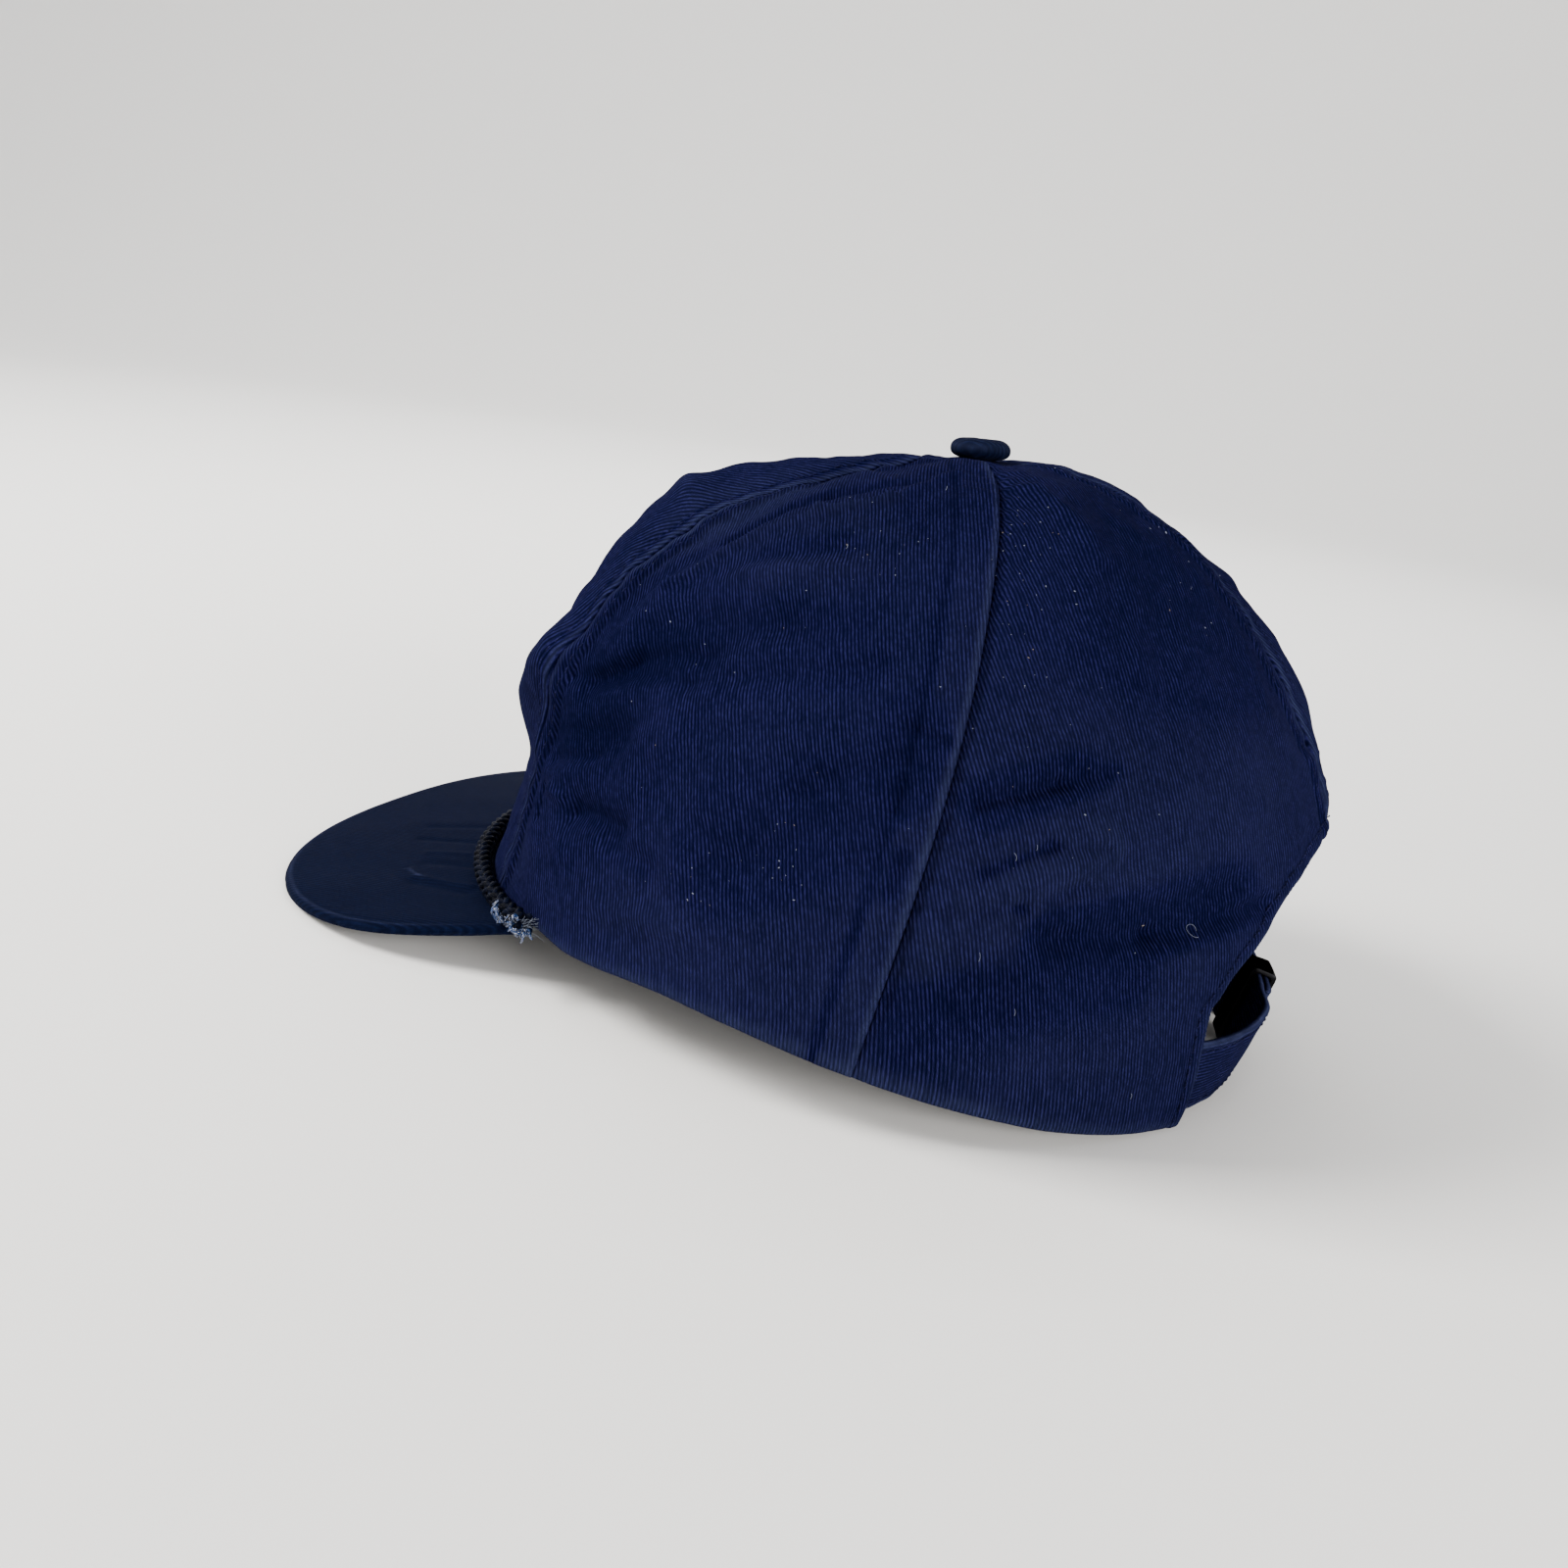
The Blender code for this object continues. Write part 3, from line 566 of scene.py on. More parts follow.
def meridian(azimuth):
    """Roundness, low, high and lift at an azimuth, on a smooth curve through the table."""
    knots = TABLE[:, 0]
    around = wrapped(azimuth)
    low = np.clip(np.searchsorted(knots, around, side="right") - 1, 1, len(knots) - 3)
    span = knots[low + 1] - knots[low]
    part = (around - knots[low]) / span
    columns = []
    for values in TABLE.T[1:]:
        tilt_here = (values[low + 1] - values[low - 1]) / (knots[low + 1] - knots[low - 1])
        tilt_next = (values[low + 2] - values[low]) / (knots[low + 2] - knots[low])
        columns.append(
            (2 * part**3 - 3 * part**2 + 1) * values[low]
            + (part**3 - 2 * part**2 + part) * span * tilt_here
            + (3 * part**2 - 2 * part**3) * values[low + 1]
            + (part**3 - part**2) * span * tilt_next
        )
    return columns


def base_ray(azimuth):
    """Direction and length from the seams' centre to the crown's oval lower outline."""
    across = np.sin(azimuth)
    along = -np.cos(azimuth)
    square = (across / HALF_WIDTH) ** 2 + (along / HALF_LENGTH) ** 2
    middle = -SEAM_CENTRE_AHEAD * along / HALF_LENGTH**2
    rest = (SEAM_CENTRE_AHEAD / HALF_LENGTH) ** 2 - 1
    radius = (-middle + np.sqrt(middle**2 - square * rest)) / square
    return across, along, radius


def peak_top(x, y):
    """Height of the peak's upper side."""
    bow = PEAK_BOW * (x / PEAK_HALF_WIDTH) ** 2
    return -FRONT_DROP + math.tan(PEAK_SLOPE) * (y + HALF_LENGTH) - bow


def lower_edge(azimuth, lift):
    """Height of the crown's lower edge, whose inner side sits on the peak."""
    across, along, radius = base_ray(azimuth)
    inner = radius - CLOTH
    on_peak = peak_top(inner * across, inner * along - SEAM_CENTRE_AHEAD) + SEAM_GAP
    free = smooth_step((np.abs(wrapped(azimuth)) - PEAK_CORNER) / CORNER_BLEND)
    return on_peak * (1 - free) + lift * CROWN_HEIGHT * free


def smooth_crown(azimuth, share):
    """The crown's outer side without seams and folds, as points."""
    across, along, radius = base_ray(azimuth)
    roundness, low, high, lift = meridian(azimuth)
    foot = lower_edge(azimuth, lift)
    turn = np.clip(share, 0, 1) * math.pi / 2
    out = np.cos(turn).clip(0) ** (2 / roundness)
    rise = np.sin(turn).clip(0) ** (2 / roundness)
    swell = 1 + 27 / 4 * rise * (1 - rise) * (low * (1 - rise) + high * rise)
    reach = radius * out * swell
    x = reach * across
    y = reach * along - SEAM_CENTRE_AHEAD
    z = foot + (CROWN_HEIGHT - foot) * rise
    leaning = smooth_step((share - TOP_LEAN_FROM) / (1 - TOP_LEAN_FROM))
    z = z + math.tan(TOP_LEAN) * reach * along * leaning
    return grouped(x, y, z)


def crown_normal(azimuth, share):
    """Outward unit vectors of the smooth crown, level at its lower edge."""
    step = 0.004
    low = np.clip(share - step, 0, 1 - 2 * step)
    up = smooth_crown(azimuth, low + 2 * step) - smooth_crown(azimuth, low)
    round_it = smooth_crown(azimuth + step, share) - smooth_crown(azimuth - step, share)
    normal = np.cross(round_it, up)
    normal[..., 2] *= smooth_step(share / LEVEL_RIM)
    return unit(normal)


def flat_place(azimuth, share):
    """Rough lengths round and up the crown, for distances to seams and folds."""
    radius = (HALF_LENGTH + HALF_WIDTH) / 2
    up = share * (radius + CROWN_HEIGHT) * math.pi / 4
    return azimuth * radius * np.cos(share * math.pi / 2), up


def folded(folds, azimuth, share):
    """How far a table of folds moves the cloth outward."""
    moved = np.zeros(np.broadcast(azimuth, share).shape)
    for fold in folds:
        ends = np.radians([fold.azimuth, fold.end_azimuth])
        x, y = flat_place(wrapped(azimuth - ends[0]), share)
        x_end, y_end = flat_place(ends[1] - ends[0], fold.end_share)
        y_start = flat_place(0, fold.share)[1]
        away = off_segment(x, y - y_start, np.array([x_end, y_end - y_start]))
        moved += fold.depth * CROWN_HEIGHT * hump(away, fold.reach * CROWN_HEIGHT)
    return moved


def relief(azimuth, share):
    """How far the CAD model's seams and folds move the cloth outward."""
    moved = folded(FOLDS, azimuth, share)
    fade = 1 - smooth_step((share - SEAM_DIP_UNTIL) / (1 - SEAM_DIP_UNTIL))
    for seam in (FRONT_SEAM, MID_SEAM, math.pi):
        away = flat_place(np.abs(wrapped(azimuth)) - seam, share)[0]
        moved -= SEAM_DIP * fade * hump(away, SEAM_DIP_REACH)
    return moved * smooth_step(share / LEVEL_RIM)


def crown_point(azimuth, share, depth, kept=1):
    """Points of the cloth, depth below its outer side, with its relief kept or flattened."""
    outward = (relief(azimuth, share) * kept - depth)[..., None]
    return smooth_crown(azimuth, share) + outward * crown_normal(azimuth, share)


def share_at_height(azimuth, height):
    """How far up a meridian the crown is at a height."""
    roundness, low, high, lift = meridian(azimuth)
    foot = lower_edge(azimuth, lift)
    rise = np.clip((height - foot) / (CROWN_HEIGHT - foot), 0, 1)
    return np.arcsin(rise ** (roundness / 2)) * 2 / math.pi


def share_at_top_hole(azimuth):
    radius = base_ray(azimuth)[2]
    roundness = meridian(azimuth)[0]
    return np.arccos((TOP_HOLE_RADIUS / radius) ** (roundness / 2)) * 2 / math.pi


def reach_at(azimuth, share):
    """Distance of the crown from the seams' centre."""
    point = smooth_crown(azimuth, share)
    return np.maximum(np.hypot(point[..., 0], point[..., 1] + SEAM_CENTRE_AHEAD), TOP_HOLE_RADIUS)


def seam_side(seam, share, side):
    """Azimuth of a panel's edge at a seam, where the sewn cloth closes the gap."""
    return seam - side * SEAM_CLOSED / reach_at(np.full_like(share, seam), share)


def laid(points):
    """Points of the crown's own frame, laid down as the CAD model is."""
    return tipped(points, REST_TILT) + REST_AT


def waves(points, length, seed, count=28):
    """Smooth unevenness between about -1 and 1, with humps of about one length."""
    chance = np.random.default_rng(seed)
    ways = unit(chance.normal(size=(count, points.shape[-1])))
    pace = chance.uniform(0.6, 1.5, count) * math.tau / length
    start = chance.uniform(0, math.tau, count)
    total = np.zeros(points.shape[:-1])
    for way, quick, first in zip(ways, pace, start):
        total += np.sin(points @ (way * quick) + first)
    return total / math.sqrt(count)


def ledge(distance, reach):
    """1 beside a seam or an edge, falling to 0 over the last part of its reach."""
    return 1 - smooth_step((distance - reach + WELT_FALL) / WELT_FALL)


def groove(distance):
    return hump(distance, GROOVE_REACH)


def beside_seam(seam, azimuth, reach):
    """How far off a seam places are, and its rise, reach and stitch line on their side."""
    off = (np.abs(wrapped(azimuth)) - seam.azimuth) * reach
    return off, *[np.where(off < 0, before, after) for before, after in zip(seam[1:4], seam[4:7])]


def seam_relief(azimuth, share):
    """Welts, stitch grooves and puckers beside the seams."""
    right = np.where(np.sin(azimuth) < 0, 0.1, 0.0)
    reach = reach_at(azimuth, share)
    up = flat_place(0.0, share)[1]
    moved = np.zeros(np.shape(azimuth))
    for number, seam in enumerate(SEAMS):
        off, rise, width, line = beside_seam(seam, azimuth, reach)
        away = np.abs(off)
        moved = moved + rise * ledge(away, width) - GROOVE * groove(away - line) * (line > 0)
        along = grouped(up, PUCKER_STRETCH * away, right)
        pucker = waves(along, PUCKER_LENGTH, 40 + number, 12)
        moved = moved + PUCKER * np.exp(-away / PUCKER_REACH) * pucker
    return moved * (1 - smooth_step((share - WELTS_UNTIL) / (WELTS_END - WELTS_UNTIL)))


def fold_and_seam_shade(azimuth, share):
    """Painted shade, below 0, in fold valleys and along stitch and seam lines; fold ridges lighter,
    worn and painted highlight.
    """
    raised = (folded(FOLDS, azimuth, share) + folded(FINE_FOLDS, azimuth, share)) / FOLD_TONE_HEIGHT
    wear_and_shade = VALLEY_SHADE * raised.clip(-1, 0) + RIDGE_WORN_AND_HIGHLIT * raised.clip(0, 1)
    dashes = np.sin(math.tau * flat_place(0.0, share)[1] / (STITCH + STITCH_GAP)).clip(-0.4, 1)
    dashes = 1 - STITCH_DASHED * (1 - dashes)
    reach = reach_at(azimuth, share)
    for seam in SEAMS:
        off, _, _, line = beside_seam(seam, azimuth, reach)
        stitched = STITCH_SHADE * dashes * groove(np.abs(off) - line)
        wear_and_shade = wear_and_shade - (stitched + SEAM_SHADE * hump(off, SEAM_SHADE_REACH)) * (line > 0)
    return wear_and_shade


def cloth_point(azimuth, share, depth=0.0):
    """Points of the finished cloth, depth below its outer side, in the crown's frame."""
    smooth = smooth_crown(azimuth, share)
    above_rim = smooth_step(share / LEVEL_RIM)
    fine = folded(FINE_FOLDS, azimuth, share) * above_rim
    moved = seam_relief(azimuth, share)
    for seed, (height, length) in enumerate(UNEVEN, 1):
        moved = moved + height * waves(smooth, length, seed)
    outward = relief(azimuth, share) + fine + moved * (RIM_UNEVEN + (1 - RIM_UNEVEN) * above_rim)
    return smooth + (outward - depth)[..., None] * crown_normal(azimuth, share)


def roll(distance, radius):
    """How far a rounded edge drops away, at a distance from it."""
    inside = np.clip(radius - distance, 0, radius)
    return radius - np.sqrt(radius**2 - inside**2)


def distance_to(points, line):
    """Distance of each point to a finely stepped line."""
    tree = KDTree(len(line))
    for number, place in enumerate(line):
        tree.insert(place, number)
    tree.balance()
    found = [tree.find(place)[2] for place in points.reshape(-1, 3)]
    return np.array(found).reshape(points.shape[:-1])


def spread(length, step, start=0.72, end=0.72):
    """Places from 0 to 1, about a step apart, and closer together at the ends named."""
    count = INNER_SHARE * max(2, round(length / step / INNER_SHARE)) + 1
    place = np.linspace(0, 1, count)
    near = EDGE_NEAR / length
    pace = 1 - start * np.exp(-place / near) - end * np.exp(-(1 - place) / near)
    places = np.concatenate([[0], np.cumsum((pace[1:] + pace[:-1]) / 2)])
    return places / places[-1]


def fill(tree, node, inputs):
    """Give a node's inputs their values, or a link where the value is a socket."""
    for socket, value in inputs.items():
        if isinstance(value, bpy.types.NodeSocket):
            tree.links.new(value, node.inputs[socket])
        else:
            node.inputs[socket].default_value = value


def add_node(tree, kind, inputs, **settings):
    node = tree.nodes.new(kind)
    for name, value in settings.items():
        setattr(node, name, value)
    fill(tree, node, inputs)
    return node


def calculate(tree, operation, first, second=0.0):
    return add_node(tree, "ShaderNodeMath", {0: first, 1: second}, operation=operation).outputs[0]


def times(tree, first, second):
    return calculate(tree, "MULTIPLY", first, second)


def plus(tree, first, second):
    return calculate(tree, "ADD", first, second)


def between(tree, value, low, high, to_low=0.0, to_high=1.0):
    inputs = {0: value, 1: low, 2: high, 3: to_low, 4: to_high}
    return add_node(tree, "ShaderNodeMapRange", inputs).outputs[0]


def blend(tree, share, first, second):
    inputs = {"Factor": share, 6: first, 7: second}
    return add_node(tree, "ShaderNodeMix", inputs, data_type="RGBA").outputs[2]


def noise(tree, vector, scale, detail=2.0):
    inputs = {"Vector": vector, "Scale": scale, "Detail": detail}
    return add_node(tree, "ShaderNodeTexNoise", inputs).outputs["Fac"]


def stretched(tree, vector, scale):
    return add_node(tree, "ShaderNodeMapping", {0: vector, 3: scale}).outputs[0]


def bumped(tree, strength, distance, height):
    inputs = {"Strength": strength, "Distance": distance, "Height": height}
    return add_node(tree, "ShaderNodeBump", inputs).outputs[0]


def on_object(tree):
    return add_node(tree, "ShaderNodeTexCoord", {}).outputs["Object"]


def on_cloth(tree):
    """Place on the cloth, and how far across and up it that is, in metres."""
    place = add_node(tree, "ShaderNodeUVMap", {}, uv_map="cloth").outputs[0]
    across, up, _ = add_node(tree, "ShaderNodeSeparateXYZ", {0: place}).outputs
    return place, across, up


def scaled(colour, share):
    return [min(1, part * share) for part in colour[:3]] + [1]


def new_material(name, roughness):
    material = bpy.data.materials.new(name)
    material.use_nodes = True
    shader = material.node_tree.nodes["Principled BSDF"]
    shader.inputs["Roughness"].default_value = roughness
    return material, material.node_tree, shader


def cloth_material(name, deep, pale, rib_depth, ribs_shown, flecks_shown, gloss):
    """Cotton twill: ribs up the cloth, finer threads across them, flecks, fading, worn spots and
    painted shade.
    """
    material, tree, shader = new_material(name, 0.9)
    place, across, up = on_cloth(tree)
    body = on_object(tree)
    wobble = times(tree, noise(tree, place, RIB_WOBBLES, 3.0), RIB_WOBBLE)
    wave = calculate(tree, "SINE", plus(tree, times(tree, across, math.tau / RIB_PITCH), wobble))
    gaps = noise(tree, stretched(tree, place, (1, 0.25, 1)), RIB_BREAKS)
    ribs = times(tree, between(tree, wave, -0.7, 0.7), between(tree, gaps, 0.36, 0.58, 0.45))
    lean = plus(tree, times(tree, up, THREAD_LEAN), across)
    threads = calculate(tree, "SINE", times(tree, lean, math.tau / THREAD_PITCH))
    grains = noise(tree, stretched(tree, place, (1, 0.45, 1)), FLECKS)
    height = plus(tree, plus(tree, ribs, times(tree, threads, 0.18)), times(tree, grains, 1.1))
    flecks = times(tree, between(tree, grains, 0.44, 0.66), flecks_shown)
    fading = between(tree, noise(tree, body, CLOUDS, 4.0), 0.32, 0.70, 0.0, 0.14)
    rubbed_and_shaded = add_node(tree, "ShaderNodeAttribute", {}, attribute_name="wear_and_shade").outputs["Fac"]
    tone = plus(tree, times(tree, ribs, plus(tree, flecks, ribs_shown)), fading)
    # Painted shade: the tone darkens where the attribute of worn spots and shade is below 0
    tone = times(tree, tone, between(tree, rubbed_and_shaded, -1.0, 0.0, 0.38))
    patches = plus(tree, noise(tree, body, WORN_PATCHES, 3.0), times(tree, tone, 0.4))
    # Lighter towards the worn colour where that attribute is above 0: worn spots, with painted
    # highlight on fold ridges and the peak's rim
    worn = times(tree, rubbed_and_shaded, between(tree, patches, 0.45, 0.90, 0.50))
    inputs = {
        "Base Color": blend(tree, worn, blend(tree, tone, deep, pale), NAVY_WORN_AND_HIGHLIT),
        "Normal": bumped(tree, 0.8, rib_depth, height),
        "Specular IOR Level": gloss,
        "Sheen Weight": gloss / 2,
        "Sheen Roughness": 0.45,
        "Sheen Tint": SHEEN_TINT,
    }
    fill(tree, shader, inputs)
    return material


def yarn_material(name, deep, pale, roughness, gloss):
    """Yarn: fine twisted fibres along it, with lighter and darker stretches."""
    material, tree, shader = new_material(name, roughness)
    _, along, around = on_cloth(tree)
    lean = plus(tree, along, times(tree, around, 1.4))
    fibres = calculate(tree, "SINE", times(tree, lean, math.tau / YARN_TWIST))
    tone = plus(tree, noise(tree, on_object(tree), 420.0, 3.0), times(tree, fibres, 0.12))
    colour = blend(tree, between(tree, tone, 0.35, 0.72), deep, pale)
    normal = bumped(tree, 0.6, 0.00008, fibres)
    fill(tree, shader, {"Base Color": colour, "Normal": normal, "Specular IOR Level": gloss})
    return material


def metal_material(name, colour):
    """Satin metal with fine brushing and dulled spots."""
    material, tree, shader = new_material(name, 0.35)
    body = on_object(tree)
    lines = noise(tree, stretched(tree, body, (400, 400, 4000)), 1.0)
    inputs = {
        "Base Color": blend(tree, noise(tree, body, 300.0), colour, scaled(colour, 0.6)),
        "Roughness": between(tree, lines, 0.0, 1.0, 0.28, 0.48),
        "Normal": bumped(tree, 0.25, 0.00005, lines),
        "Metallic": 1,
        "Specular Tint": scaled(colour, 8),
    }
    fill(tree, shader, inputs)
    return material


def plain_material(name, colour, roughness, darker, scale):
    """One colour with darker spots."""
    material, tree, shader = new_material(name, roughness)
    spots = noise(tree, on_object(tree), scale)
    fill(tree, shader, {"Base Color": blend(tree, spots, scaled(colour, darker), colour)})
    return material


def add_object(name, data):
    thing = bpy.data.objects.new(name, data)
    bpy.context.scene.collection.objects.link(thing)
    return thing


def add_surface(name, points, faces, uvs, material, nodes=(), wear_and_shade=None, sharp=None):
    """A piece of the cap, from points in the row frame, with its cloth coordinates."""
    mesh = bpy.data.meshes.new(name)
    mesh.from_pydata(points.tolist(), [], faces)
    corners = np.empty(len(mesh.loops), dtype=np.int32)
    mesh.loops.foreach_get("vertex_index", corners)
    layer = mesh.uv_layers.new(name="cloth")
    layer.data.foreach_set("uv", uvs[corners].ravel())
    # The attribute holds worn spots, painted shade and painted highlight
    if wear_and_shade is not None:
        mesh.attributes.new("wear_and_shade", "FLOAT", "POINT").data.foreach_set("value", wear_and_shade)
    body = bmesh.new()
    body.from_mesh(mesh)
    bmesh.ops.recalc_face_normals(body, faces=body.faces)
    body.to_mesh(mesh)
    body.free()
    mesh.materials.append(material)
    mesh.shade_smooth()
    if sharp:
        mesh.set_sharp_from_angle(angle=sharp)
    piece = add_object(name, mesh)
    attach(piece, "root")
    if nodes:
        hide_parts(*nodes)


def grid_faces(rows, columns, first=0, closed=False):
    """Quads of a grid of points, row by row, closed across its columns if asked."""
    row = np.arange(rows - 1)[:, None]
    column = np.arange(columns if closed else columns - 1)[None, :]
    beside = (column + 1) % columns
    here = first + row * columns
    quads = [here + column, here + beside, here + columns + beside, here + columns + column]
    return grouped(*quads).reshape(-1, 4).tolist()


def add_wall(name, outer, inner, uvs, material, wear_and_shade, node):
    """A closed wall: a fine outer grid, a coarser inner grid and the rims between."""
    numbers = np.arange(outer[..., 0].size).reshape(outer.shape[:2])
    within = numbers.size + np.arange(inner[..., 0].size).reshape(inner.shape[:2])
    faces = grid_faces(*outer.shape[:2]) + grid_faces(*inner.shape[:2], first=numbers.size)
    for rim in ((0, ...), (-1, ...), (..., 0), (..., -1)):
        fine, coarse = numbers[rim].tolist(), within[rim].tolist()
        for part in range(len(coarse) - 1):
            start = part * INNER_SHARE
            faces.append(fine[start : start + INNER_SHARE + 1] + [coarse[part + 1], coarse[part]])
    points = np.concatenate([outer.reshape(-1, 3), inner.reshape(-1, 3)])
    flat_uvs = np.concatenate([uvs.reshape(-1, 2), uvs[FEW].reshape(-1, 2)])
    # Worn spots and painted shade, weaker on the inner side
    worn = np.append(wear_and_shade, wear_and_shade[FEW] * INSIDE_WORN)
    add_surface(name, laid(points), faces, flat_uvs, material, [node], worn)


def opening(step, outside=0.0):
    """Shares and half widths up the back opening's edge, or up a line outside it."""
    foot = lower_edge(math.pi, meridian(math.pi)[3])
    straight = spread(ARCH_SHOULDER, step, end=0)[:-1]
    turn = spread(ARCH_CURVE, step, 0, 0) * math.pi / 2
    low = ARCH_FOOT_WIDTH + (ARCH_WIDTH - ARCH_FOOT_WIDTH) * smooth_step(straight)
    rise = np.sin(turn) ** (2 / ARCH_FULLNESS)
    up = foot + (ARCH_SHOULDER - foot) * straight
    heights = np.append(up, ARCH_SHOULDER + (ARCH_HEIGHT + outside - ARCH_SHOULDER) * rise)
    widths = np.append(low / 2 + outside, (ARCH_WIDTH / 2 + outside) * np.cos(turn))
    return share_at_height(math.pi, heights), widths


def azimuth_beside_back(width, share):
    """Azimuth at a distance from the centre back."""
    reach = reach_at(np.full_like(share, math.pi), share)
    return math.pi - np.arcsin(np.clip(width / reach, 0, 1))


def rows_between(first, last, length, step):
    """Azimuths in rows from one edge of a panel to the other."""
    return first[:, None] + (last - first)[:, None] * spread(length, step)


def full_rows(panel):
    """Azimuths and shares of a panel from the lower edge to the top, row by row."""
    ups = spread(flat_place(0.0, 1.0)[1], panel.step)
    first = seam_side(panel.first, ups * share_at_top_hole(panel.first), 1)
    last = seam_side(panel.last, ups * share_at_top_hole(panel.last), -1)
    azimuths = rows_between(first, last, (panel.last - panel.first) * HALF_WIDTH, panel.step)
    return azimuths, ups[:, None] * share_at_top_hole(azimuths)


def back_rows(panel):
    """Azimuths and shares of a back panel, whose rows end at the opening's edge."""
    low, widths = opening(panel.step)
    top = float(share_at_top_hole(math.pi))
    rest = (top - low[-1]) * flat_place(0.0, 1.0)[1]
    above = low[-1] + (top - low[-1]) * spread(rest, panel.step, start=0)[1:]
    shares = np.concatenate([low, above])
    widths = np.concatenate([widths, np.zeros_like(above)])
    last = azimuth_beside_back(np.maximum(widths, SEAM_CLOSED), shares)
    first = seam_side(MID_SEAM, shares, 1)
    azimuths = rows_between(first, last, (panel.last - panel.first) * HALF_LENGTH, panel.step)
    return azimuths, shares[:, None] * share_at_top_hole(azimuths) / top


def add_panel(panel, material):
    """A panel of twill with its edges rolled into the seams and round the free edges."""
    at_back = panel.last == math.pi
    side = panel.side
    azimuths, shares = (back_rows if at_back else full_rows)(panel)
    reach = reach_at(azimuths, shares)
    from_first = (azimuths - panel.first) * reach
    from_last = (panel.last - azimuths) * reach
    up = flat_place(0.0, shares)[1]
    outer = cloth_point(side * azimuths, shares)
    from_arch = np.full_like(up, CROWN_HEIGHT)
    if at_back:
        edge_shares, edge_widths = opening(FAR_STEP / 2)
        edge = cloth_point(side * azimuth_beside_back(edge_widths, edge_shares), edge_shares)
        from_arch = distance_to(outer, edge)
    from_seam = np.minimum(from_first, from_last)
    from_edge = np.minimum(up, from_arch)
    hem = HEM_RISE * ledge(from_arch, HEM + 2 * GROOVE_REACH) - GROOVE * groove(from_arch - HEM)
    drop = np.maximum(roll(from_seam, SEAM_ROLL), roll(from_edge, EDGE_ROLL)) - hem
    outer = outer - drop[..., None] * crown_normal(side * azimuths, shares)
    inner = cloth_point(side * azimuths[FEW], shares[FEW], CLOTH)
    wear_and_shade = EDGE_WORN * hump(from_edge, EDGE_WEAR) + ALL_WORN
    # Painted shade in fold valleys and along stitch and seam lines, with fold ridges lighter, worn
    # and painted highlight
    wear_and_shade = wear_and_shade + fold_and_seam_shade(side * azimuths, shares)
    for away, worn in ((from_first, panel.worn_first), (from_last, panel.worn_last)):
        wear_and_shade = wear_and_shade + worn * (hump(away - SEAM_WORN_AT, SEAM_WEAR) + BAND_WORN * ledge(away, BAND))
    # Painted shade: a dark line where the mid seam's band ends
    if panel.last == MID_SEAM:
        wear_and_shade = wear_and_shade - BAND_SHADE * hump(from_last - BAND, SEAM_WEAR)
    # Lighter spots, and painted shade in the darker ones
    for fade in LIGHTER_AND_SHADED_SPOTS:
        turned = hump(np.degrees(side * azimuths) - fade.azimuth, fade.turn)
        wear_and_shade = wear_and_shade + fade.amount * turned * hump(shares - fade.share, fade.rise)
    across = (azimuths - math.radians(panel.grain)) * reach
    uvs = grouped(across + up * (panel.lean + panel.change * up), up)
    add_wall(panel.node + "_cloth", outer, inner, uvs, material, wear_and_shade.clip(-1, 1), panel.node)


def angles(sides):
    return np.arange(sides) * math.tau / sides


def rings(sides, across, up):
    """Points round circles of radius 1, each given by two directions."""
    turn = angles(sides)[:, None]
    return np.cos(turn) * across[..., None, :] + np.sin(turn) * up[..., None, :]


def tube_faces(rows, sides, first=0):
    """Faces of a tube that is closed at both ends."""
    last = first + (rows - 1) * sides
    caps = [tuple(range(start, start + sides)) for start in (first, last)]
    return grid_faces(rows, sides, first, closed=True) + caps


def tube_uvs(run, radius, sides):
    """Cloth coordinates of a tube: along it and round it, in metres."""
    return grouped(run[..., None], angles(sides) * radius).reshape(-1, 2)


def directions(route, ups):
    """Unit vectors along a route, beside it and over it."""
    ways = unit(np.gradient(route, axis=0))
    beside = unit(np.cross(ways, ups))
    return ways, beside, np.cross(beside, ways)


def tube(route, radius, sides, ups=(0.31, 0.21, 0.93)):
    """Points, faces and cloth coordinates of a round tube along a route."""
    _, beside, over = directions(route, ups)
    radius = np.broadcast_to(radius, len(route))
    points = route[:, None] + rings(sides, beside, over) * radius[:, None, None]
    uvs = tube_uvs(run_along(route), radius.max(), sides)
    return points.reshape(-1, 3), tube_faces(len(route), sides), uvs


def stitches(line, normals):
    """A row of separate stitches that dip into the cloth at both ends."""
    run = run_along(line)
    count = int(run[-1] / (STITCH + STITCH_GAP))
    part = np.linspace(0, 1, len(STITCH_SHAPE))
    places = (np.arange(count) * (STITCH + STITCH_GAP))[:, None] + part * STITCH
    ups = unit(sampled(places, run, normals))
    rise = THREAD_RADIUS * (1.5 * np.sin(math.pi * part) - 0.9)
    centres = sampled(places, run, line) + ups * rise[:, None]
    beside = unit(np.cross(centres[:, -1:] - centres[:, :1], ups))
    thick = THREAD_RADIUS * STITCH_SHAPE[:, None, None]
    points = centres[:, :, None] + rings(STITCH_SIDES, beside, ups) * thick
    size = len(part) * STITCH_SIDES
    faces = []
    for start in range(0, count * size, size):
        faces += tube_faces(len(part), STITCH_SIDES, start)
    return points.reshape(-1, 3), faces, tube_uvs(places, THREAD_RADIUS, STITCH_SIDES)


def join_surfaces(name, parts, material, nodes=()):
    """Several loose meshes as one piece."""
    points, faces, uvs = [], [], []
    count = 0
    for part_points, part_faces, part_uvs in parts:
        points.append(part_points)
        uvs.append(part_uvs)
        faces += [tuple(corner + count for corner in face) for face in part_faces]
        count += len(part_points)
    add_surface(name, np.concatenate(points), faces, np.concatenate(uvs), material, nodes)


